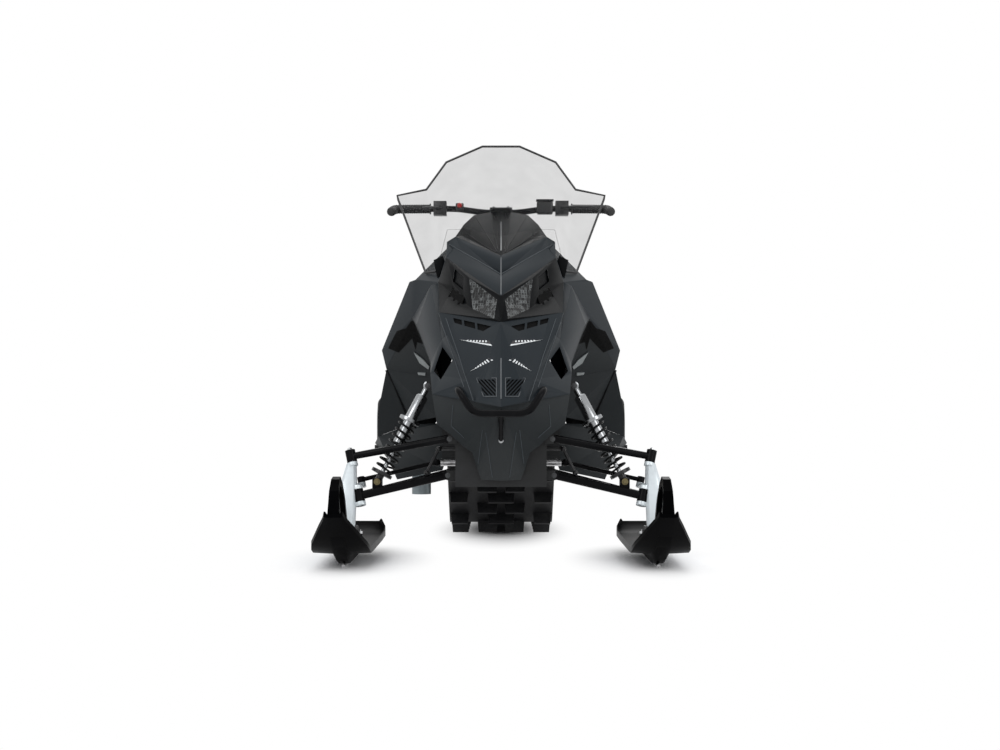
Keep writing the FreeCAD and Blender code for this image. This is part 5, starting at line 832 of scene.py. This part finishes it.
# Windshield: tall sheet of tinted polycarbonate on two black brackets, with a rubber edge trim. A
# clear apron at either side closes its foot against the console pod.
GLASS_TINT, GLASS_ROUGHNESS, GLASS_HOLD_LOW, GLASS_HOLD_HIGH = (0.012, 0.013, 0.014), 0.05, 0.136, 0.2125
APRON = [(0.178, -0.658, 1.062), (0.214, -0.645, 0.925), (0.11, -0.69, 0.925), (0.1, -0.695, 1.06)]
APRON_SHEET = Vector((0, 0.004, 0))
TRIM_RADIUS = 0.0038
TRIM_LINE = [
    (0.0, -0.33, 1.385), (0.065, -0.33, 1.385), (0.191, -0.33, 1.33), (0.258, -0.39, 1.227),
    (0.357, -0.41, 1.204), (0.354, -0.41, 1.19), (0.251, -0.6, 0.924), (0.214, -0.645, 0.925),
]


def clear_sheet(name, tint, roughness, low, high):
    """A clear tinted sheet: it hides a share of what is behind, between low and high, and shines a little."""
    material, tree, shader = new_material(name, {
        "Base Color": (*tint, 1), "Roughness": roughness, "Specular IOR Level": 0.08})
    place = add_node(tree, "TexCoord").outputs["Object"]
    dust = add_node(tree, "TexNoise", {"Vector": place, "Scale": 14, "Detail": 6})
    share = add_node(tree, "MapRange", {
        "Value": dust.outputs["Fac"], "To Min": low, "To Max": high})
    tree.links.new(share.outputs["Result"], shader.inputs["Alpha"])
    return material


shield = clear_sheet("windshield_tint", GLASS_TINT, GLASS_ROUGHNESS, GLASS_HOLD_LOW, GLASS_HOLD_HIGH)
trim_rubber = finish("trim_rubber", (0.01, 0.01, 0.011), (0.03, 0.03, 0.03), 0.45, 0.1)
eased("shield_brackets", "windshield_brackets", bezel_black)
dress(shield, "windshield")
apron_form = bmesh.new()
for front in pair(APRON):
    apron_form.faces.new([apron_form.verts.new(corner) for corner in front])
    apron_form.faces.new([apron_form.verts.new(corner + APRON_SHEET) for corner in reversed(front)])
form_piece("windshield_apron", apron_form, shield)
trim_path = [flip(place, -1) for place in reversed(TRIM_LINE)] + TRIM_LINE[1:]
tube_piece("windshield_trim", [trim_path], TRIM_RADIUS, trim_rubber)


# Fuel tank: blow-moulded black plastic, strapped over the tunnel's front. A screw cap with a ribbed
# rubber rim closes the filler in its top.
CAP_SHARE, CAP_SKY = 0.42, 2.0
CAP_PROFILE = [(-0.012, 0.05), (0.004, 0.05), (0.006, 0.046), (0.0062, 0.041), (0.021, 0.0395),
               (0.0245, 0.036)]
tank_plastic = finish("tank_plastic", (0.014, 0.0145, 0.015), (0.035, 0.035, 0.036), 0.5, 0.15,
                      grain=(650, 0.0004))
eased("tank_shell", "fuel_tank", tank_plastic, width=0.012, segments=4, angle=15)
tank_low, tank_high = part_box("fuel_tank")
cap_start = Vector((0, tank_low.y + (tank_high.y - tank_low.y) * CAP_SHARE, CAP_SKY))
cap_seat, cap_facing, _, _ = skin_of("fuel_tank").ray_cast(cap_start, Vector((0, 0, -1)))
cap_form = bmesh.new()
turned(cap_form, cap_seat, cap_seat + cap_facing, CAP_PROFILE, sides=36)
form_piece("tank_cap", cap_form, seal_rubber)


# Exhaust outlet: a straight steel pipe, heat-blued grey, that passes down through the right foot
# guard and blows at the ground.
OUTLET_FOOT, OUTLET_TOP = Vector((-0.282, -0.238, 0.167)), Vector((-0.282, -0.238, 0.3))
OUTLET_PROFILE = [(0.11, 0.029), (0.0, 0.0305), (0.0, 0.0335), (0.133, 0.0335)]
pipe_steel = finish("exhaust_steel", (0.2, 0.235, 0.25), (0.1, 0.1, 0.1), 0.42, 0.2, metallic=0.7,
                    wear=(18, 0.7), grain=(600, 0.0002))
outlet_form = bmesh.new()
turned(outlet_form, OUTLET_FOOT, OUTLET_TOP, OUTLET_PROFILE, sides=40)
outlet_pipe = form_piece("outlet_pipe", outlet_form, pipe_steel)
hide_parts("exhaust_outlet")


# Seat: moulded foam under a vinyl cover, sewn along both upper edges and across behind the nose.
# The cover is pulled tight and stapled under the base. A rubber seal closes its front at the tank.
SEAT_SHRINK, SEAT_VOXEL, SEAT_RELAX = 0.965, 0.006, 10
SEAT_SWELL, SEAT_FRAMES, SEAT_BASE_LIFT, SEAT_FILL = 0.007, 20, 0.012, 0.85
COVER_CLOTH = {
    "quality": 6, "mass": 0.3, "tension_stiffness": 30, "compression_stiffness": 30, "bending_stiffness": 2,
    "use_pressure": True, "uniform_pressure_force": 4,
}
SEAM_RADIUS, SEAM_X, SEAM_STEPS, SEAM_ABOVE = 0.0016, 0.095, 20, 0.05
SEAM_START, SEAM_STRIDE, CROSS_SEAMS = 0.03, 0.032, (0.15, 0.5)
SEAT_SEAL = ((-0.085, 0.034, 0.47), (0.085, 0.066, 0.775), 0.006)


def stuffed(name, node):
    """Foam under a cover: the CAD solid drawn in a little, then blown up as cloth until it fills out."""
    mesh = nodes[node].data.copy()
    low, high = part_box(node)
    fixed = ((low.x + high.x) / 2, (low.y + high.y) / 2, low.z)
    for vertex in mesh.vertices:
        vertex.co = [still + (value - still) * SEAT_SHRINK for still, value in zip(fixed, vertex.co)]
    piece = new_object(name, mesh)
    skin = piece.modifiers.new("skin", "REMESH")
    skin.mode = "VOXEL"
    skin.voxel_size = SEAT_VOXEL
    apply_modifiers(piece)
    piece.modifiers.new("relax", "SMOOTH").iterations = SEAT_RELAX
    apply_modifiers(piece)
    start = [vertex.co.copy() for vertex in piece.data.vertices]
    cloth = piece.modifiers.new("cover", "CLOTH").settings
    for setting, value in COVER_CLOTH.items():
        setattr(cloth, setting, value)
    cloth.effector_weights.gravity = 0
    for step in range(1, SEAT_FRAMES + 1):
        scene.frame_set(step)
    apply_modifiers(piece)
    scene.frame_set(1)
    for vertex, first in zip(piece.data.vertices, start):
        move = vertex.co - first
        if move.length > SEAT_SWELL:
            move *= SEAT_SWELL / move.length
        if first.z < low.z + SEAT_BASE_LIFT:
            move = Vector()
        vertex.co = first + move
    piece.modifiers.new("finer", "SUBSURF").levels = 1
    apply_modifiers(piece)
    for polygon in piece.data.polygons:
        polygon.use_smooth = True
    return piece


def seam_on(piece, places, above):
    """Where rays straight down on some places (across, along) meet the piece."""
    rays = [piece.ray_cast(Vector((x, y, above)), Vector((0, 0, -1))) for x, y in places]
    return [tuple(place) for hit, place, _, _ in rays if hit]


vinyl = finish("seat_vinyl", (0.013, 0.013, 0.014), (0.03, 0.03, 0.031), 0.5, 0.14, wear=(7, 0.6),
               grain=(430, 0.0009))
seat_cover = stuffed("seat_cushion", "seat")
seat_cover.data.materials.clear()
seat_cover.data.materials.append(vinyl)
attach(seat_cover, "chassis")
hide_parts("seat")
thread = finish("seat_thread", (0.12, 0.125, 0.13), (0.06, 0.06, 0.06), 0.7, 0.1)
seat_low, seat_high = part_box("seat")
seam_steps = range(SEAM_STEPS + 1)
seams = [[(side * SEAM_X, seat_low.y + SEAM_START + step * SEAM_STRIDE) for step in seam_steps]
         for side in (-1, 1)]
seams += [[(SEAM_X * (2 * step / SEAM_STEPS - 1), seam_y) for step in seam_steps] for seam_y in CROSS_SEAMS]
sewn = [seam_on(seat_cover, seam, seat_high.z + SEAM_ABOVE) for seam in seams]
tube_piece("seat_seams", sewn, SEAM_RADIUS, thread)
housing("seat_seal", [SEAT_SEAL], seal_rubber)


# Tail lamp: a red moulded lens on a short rubber bracket behind the seat. The bracket is screwed to
# the tunnel from above.
LAMP_BRACKET = ((-0.05, 0.712, 0.602), (0.05, 0.745, 0.664), 0.006)
lamp_red = finish("tail_lamp_red", (0.35, 0.006, 0.006), (0.16, 0.004, 0.004), 0.12, 0.05, coat=1.0,
                  wear=(60, 0.8), grain=(300, 0.0006))
eased("tail_lens", "tail_lamp", lamp_red, width=0.004, segments=3)
housing("lamp_bracket", [LAMP_BRACKET], seal_rubber)


# Rear bumper and snow flap: a bent steel tube bolted to the tunnel, and a hanging sheet of ribbed
# rubber clamped along its upper edge.
dress(powder_coat, "rear_bumper")
flap_rubber = finish("flap_rubber", (0.014, 0.014, 0.015), (0.04, 0.04, 0.04), 0.6, 0.15, wear=(10, 0.7),
                     grain=(500, 0.0005))
eased("flap_sheet", "snow_flap", flap_rubber, width=0.0015)


# Handlebar: a bent tube in a forged clamp on the post, with ribbed rubber grips, a brake block on
# the left and a throttle block with its thumb lever on the right.
GRIP_LINE = [Vector((0.2532, -0.1387, 1.189)), Vector((0.382, -0.13, 1.189)),
             Vector((0.3937, -0.1963, 1.1716))]
GRIP_BEND, GRIP_BEND_STEPS = 0.0205, 10
GRIP_RADIUS, GRIP_RIB, GRIP_RIBS = 0.0152, 0.0012, 22
GRIP_FLANGE = [(0, 0.004), (0.002, 0.005), (0.004, 0.003), (0.005, 0)]
GRIP_END = [(0.004, 0), (0.001, -0.002), (0, -0.005)]
RIB_SHARES = [(0.15, 0), (0.35, GRIP_RIB), (0.65, GRIP_RIB), (0.85, 0)]
RIBS_FROM, RIBS_MARGIN = 0.006, 0.014


def rounded_path(line, reach):
    """A line of three points with its corner rounded, so far to either side of it."""
    first, corner, last = line
    enter = corner + (first - corner).normalized() * reach
    leave = corner + (last - corner).normalized() * reach
    shares = [step / GRIP_BEND_STEPS for step in range(GRIP_BEND_STEPS + 1)]
    bend = [enter.lerp(corner, share).lerp(corner.lerp(leave, share), share) for share in shares]
    return [first, *bend, last]


def swept(form, path, profile, sides):
    """A solid of rings of a profile of (distance along, radius), square to a path."""
    runs = [(start, end - start) for start, end in zip(path, path[1:])]
    turns = [2 * math.pi * step / sides for step in range(sides)]
    rings = []
    for left, radius in profile:
        for start, run in runs:
            if left <= run.length or start is runs[-1][0]:
                break
            left -= run.length
        facing = run.normalized()
        side = facing.cross(Vector((0, 0, 1))).normalized()
        up = side.cross(facing)
        middle = start + facing * left
        rings.append([form.verts.new(middle + (side * math.cos(turn) + up * math.sin(turn)) * radius)
                      for turn in turns])
    skinned(form, rings)


def grip_profile(length):
    """A flange, a run of round ribs and a closed end."""
    pitch = (length - RIBS_MARGIN) / GRIP_RIBS
    profile = GRIP_FLANGE + [(RIBS_FROM + (rib + share) * pitch, rise)
                             for rib in range(GRIP_RIBS) for share, rise in RIB_SHARES]
    profile += [(length - back, rise) for back, rise in GRIP_END]
    return [(along, GRIP_RADIUS + rise) for along, rise in profile]


control_black = finish("control_black", (0.012, 0.012, 0.013), (0.03, 0.03, 0.03), 0.38, 0.12,
                       grain=(900, 0.0003))
grip_rubber = finish("grip_rubber", (0.012, 0.012, 0.012), (0.03, 0.03, 0.03), 0.62, 0.1,
                     grain=(800, 0.0004))
grip_path = rounded_path(GRIP_LINE, GRIP_BEND)
grip_length = sum((end - start).length for start, end in zip(grip_path, grip_path[1:]))
grip_form = bmesh.new()
for path in pair(grip_path):
    swept(grip_form, path, grip_profile(grip_length), sides=28)
ribbed_grips = form_piece("ribbed_grips", grip_form, grip_rubber, "steering", angle=50)
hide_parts("grips")
eased("brake_control", "brake_block", control_black, "steering", width=0.0016, angle=25)
eased("throttle_control", "throttle_block", control_black, "steering", width=0.0016, angle=25)
dress(gloss_black, "handlebar")
dress(satin_black, "handlebar_post")


# Fasteners: zinc plated hex bolts and nuts with wide washers, at the pivots of the arms, shocks and
# saddles and on the clamp. Those at the shocks' feet are yellow passivated.
BOLT_SIZE, BOLT_HEIGHT, BOLT_CHAMFER_FROM, BOLT_CHAMFER = 0.0078, 0.006, 0.85, 0.88
WASHER_SIZE, WASHER_HEIGHT = 0.0115, 0.0016
AHEAD = (0, -1, 0)
ARM_BOLTS = [(0.16, -0.9773, 0.379), (0.16, -0.7573, 0.379), (0.168, -0.8873, 0.262), (0.168, -0.6973, 0.262)]
SHOCK_TOP_BOLT, SHOCK_FOOT_BOLT = (0.232, -0.8733, 0.545), (0.39, -0.9065, 0.243)
KINGPIN_TOP, KINGPIN_AXIS = (0.4763, -0.8919, 0.3409), (0.2163, 0.2549, 0.9425)
SADDLE_BOLT_X, SADDLE_HALF, SADDLE_BOLT_Y, SADDLE_BOLT_Z = 0.478, 0.039, -0.95, 0.084
CLAMP_BOLT_X, CLAMP_BOLT_YS, CLAMP_BOLT_Z = 0.026, (-0.181, -0.159), 1.189


def hex_heads(name, places, scale, material, body="chassis"):
    """Hex heads on washers, one at each place, facing along its direction."""
    form = bmesh.new()
    washer, height, size = WASHER_SIZE * scale, BOLT_HEIGHT * scale, BOLT_SIZE * scale
    for place, facing in places:
        start, axis = Vector(place), Vector(facing).normalized()
        seat = start + axis * WASHER_HEIGHT * scale
        turned(form, start, seat, [(0, washer), (WASHER_HEIGHT * scale, washer)], sides=20)
        turned(form, seat, seat + axis, [(0, size), (height * BOLT_CHAMFER_FROM, size),
                                         (height, size * BOLT_CHAMFER)], sides=6)
    form_piece(name, form, material, body, angle=30)


yellow_zinc = finish("yellow_zinc", (0.2, 0.165, 0.085), (0.1, 0.09, 0.05), 0.4, 0.14, metallic=0.9,
                     wear=(90, 0.8))
dark_zinc = finish("dark_zinc", (0.07, 0.072, 0.075), (0.03, 0.03, 0.03), 0.36, 0.12, metallic=0.9,
                   wear=(90, 0.7))
bright_zinc = finish("bright_zinc", (0.5, 0.51, 0.52), (0.28, 0.28, 0.28), 0.32, 0.14, metallic=1.0,
                     wear=(90, 0.7))
for name, places, scale, plating, slot in (
    ("arm_bolts", ARM_BOLTS, 0.72, dark_zinc, "front_tub"),
    ("shock_top_bolts", [SHOCK_TOP_BOLT], 0.8, dark_zinc, "shocks"),
    ("shock_foot_bolts", [SHOCK_FOOT_BOLT], 0.9, yellow_zinc, "shocks"),
):
    heads = [(flip(place, side), AHEAD) for place in places for side in (-1, 1)]
    hex_heads(name, heads, scale, plating)
for hand, side in (("left", 1), ("right", -1)):
    heads = [(flip(KINGPIN_TOP, side), flip(KINGPIN_AXIS, side))]
    for way in (-1, 1):
        face = side * (SADDLE_BOLT_X + way * SADDLE_HALF)
        heads.append(((face, SADDLE_BOLT_Y, SADDLE_BOLT_Z), (side * way, 0, 0)))
    hex_heads(f"ski_bolts_{hand}", heads, 1, bright_zinc, f"{hand}_ski")
clamp_heads = [((side * CLAMP_BOLT_X, y, CLAMP_BOLT_Z), (0, 0, 1)) for side in (-1, 1) for y in CLAMP_BOLT_YS]
hex_heads("clamp_bolts", clamp_heads, 0.62, bright_zinc, "steering")


# Controls: a moulded brake fluid reservoir, its lid held by two screws, inboard of the brake block.
# A red stop switch sits on a small housing on the other side.
RESERVOIR = ((0.128, -0.186, 1.166), (0.186, -0.15, 1.212), 0.008)
LID_GAP, LID_LIFT, LID_SPREAD, LID_ROUND = 0.0004, 0.007, 0.0025, 0.0028
LID_SCREW_INSET, LID_SCREW_RADIUS = 0.01, 0.0032
SWITCH = ((-0.163, -0.168, 1.178), (-0.134, -0.132, 1.208), 0.006)
BUTTON_START, BUTTON_END = Vector((-0.1485, -0.166, 1.198)), Vector((-0.1485, -0.177, 1.199))
BUTTON_PROFILE = [(0, 0.009), (0.008, 0.009), (0.0105, 0.0075), (0.011, 0.005)]
(left, front, _), (right, rear, top), _ = RESERVOIR
lid = ((left - LID_SPREAD, front - LID_SPREAD, top + LID_GAP),
       (right + LID_SPREAD, rear + LID_SPREAD, top + LID_LIFT), LID_ROUND)
housing("reservoir_and_switch", [RESERVOIR, lid, SWITCH], control_black, "steering", angle=40)
lid_screws = [((x, (front + rear) / 2, top + LID_LIFT), (0, 0, 1))
              for x in (left + LID_SCREW_INSET, right - LID_SCREW_INSET)]
dome_heads("lid_screws", lid_screws, LID_SCREW_RADIUS, bright_zinc, "steering")
stop_red = finish("stop_red", (0.5, 0.012, 0.01), (0.35, 0.01, 0.01), 0.3, 0.1, coat=0.4, wear=(60, 0.6))
button_form = bmesh.new()
turned(button_form, BUTTON_START, BUTTON_END, BUTTON_PROFILE)
form_piece("stop_button", button_form, stop_red, "steering")
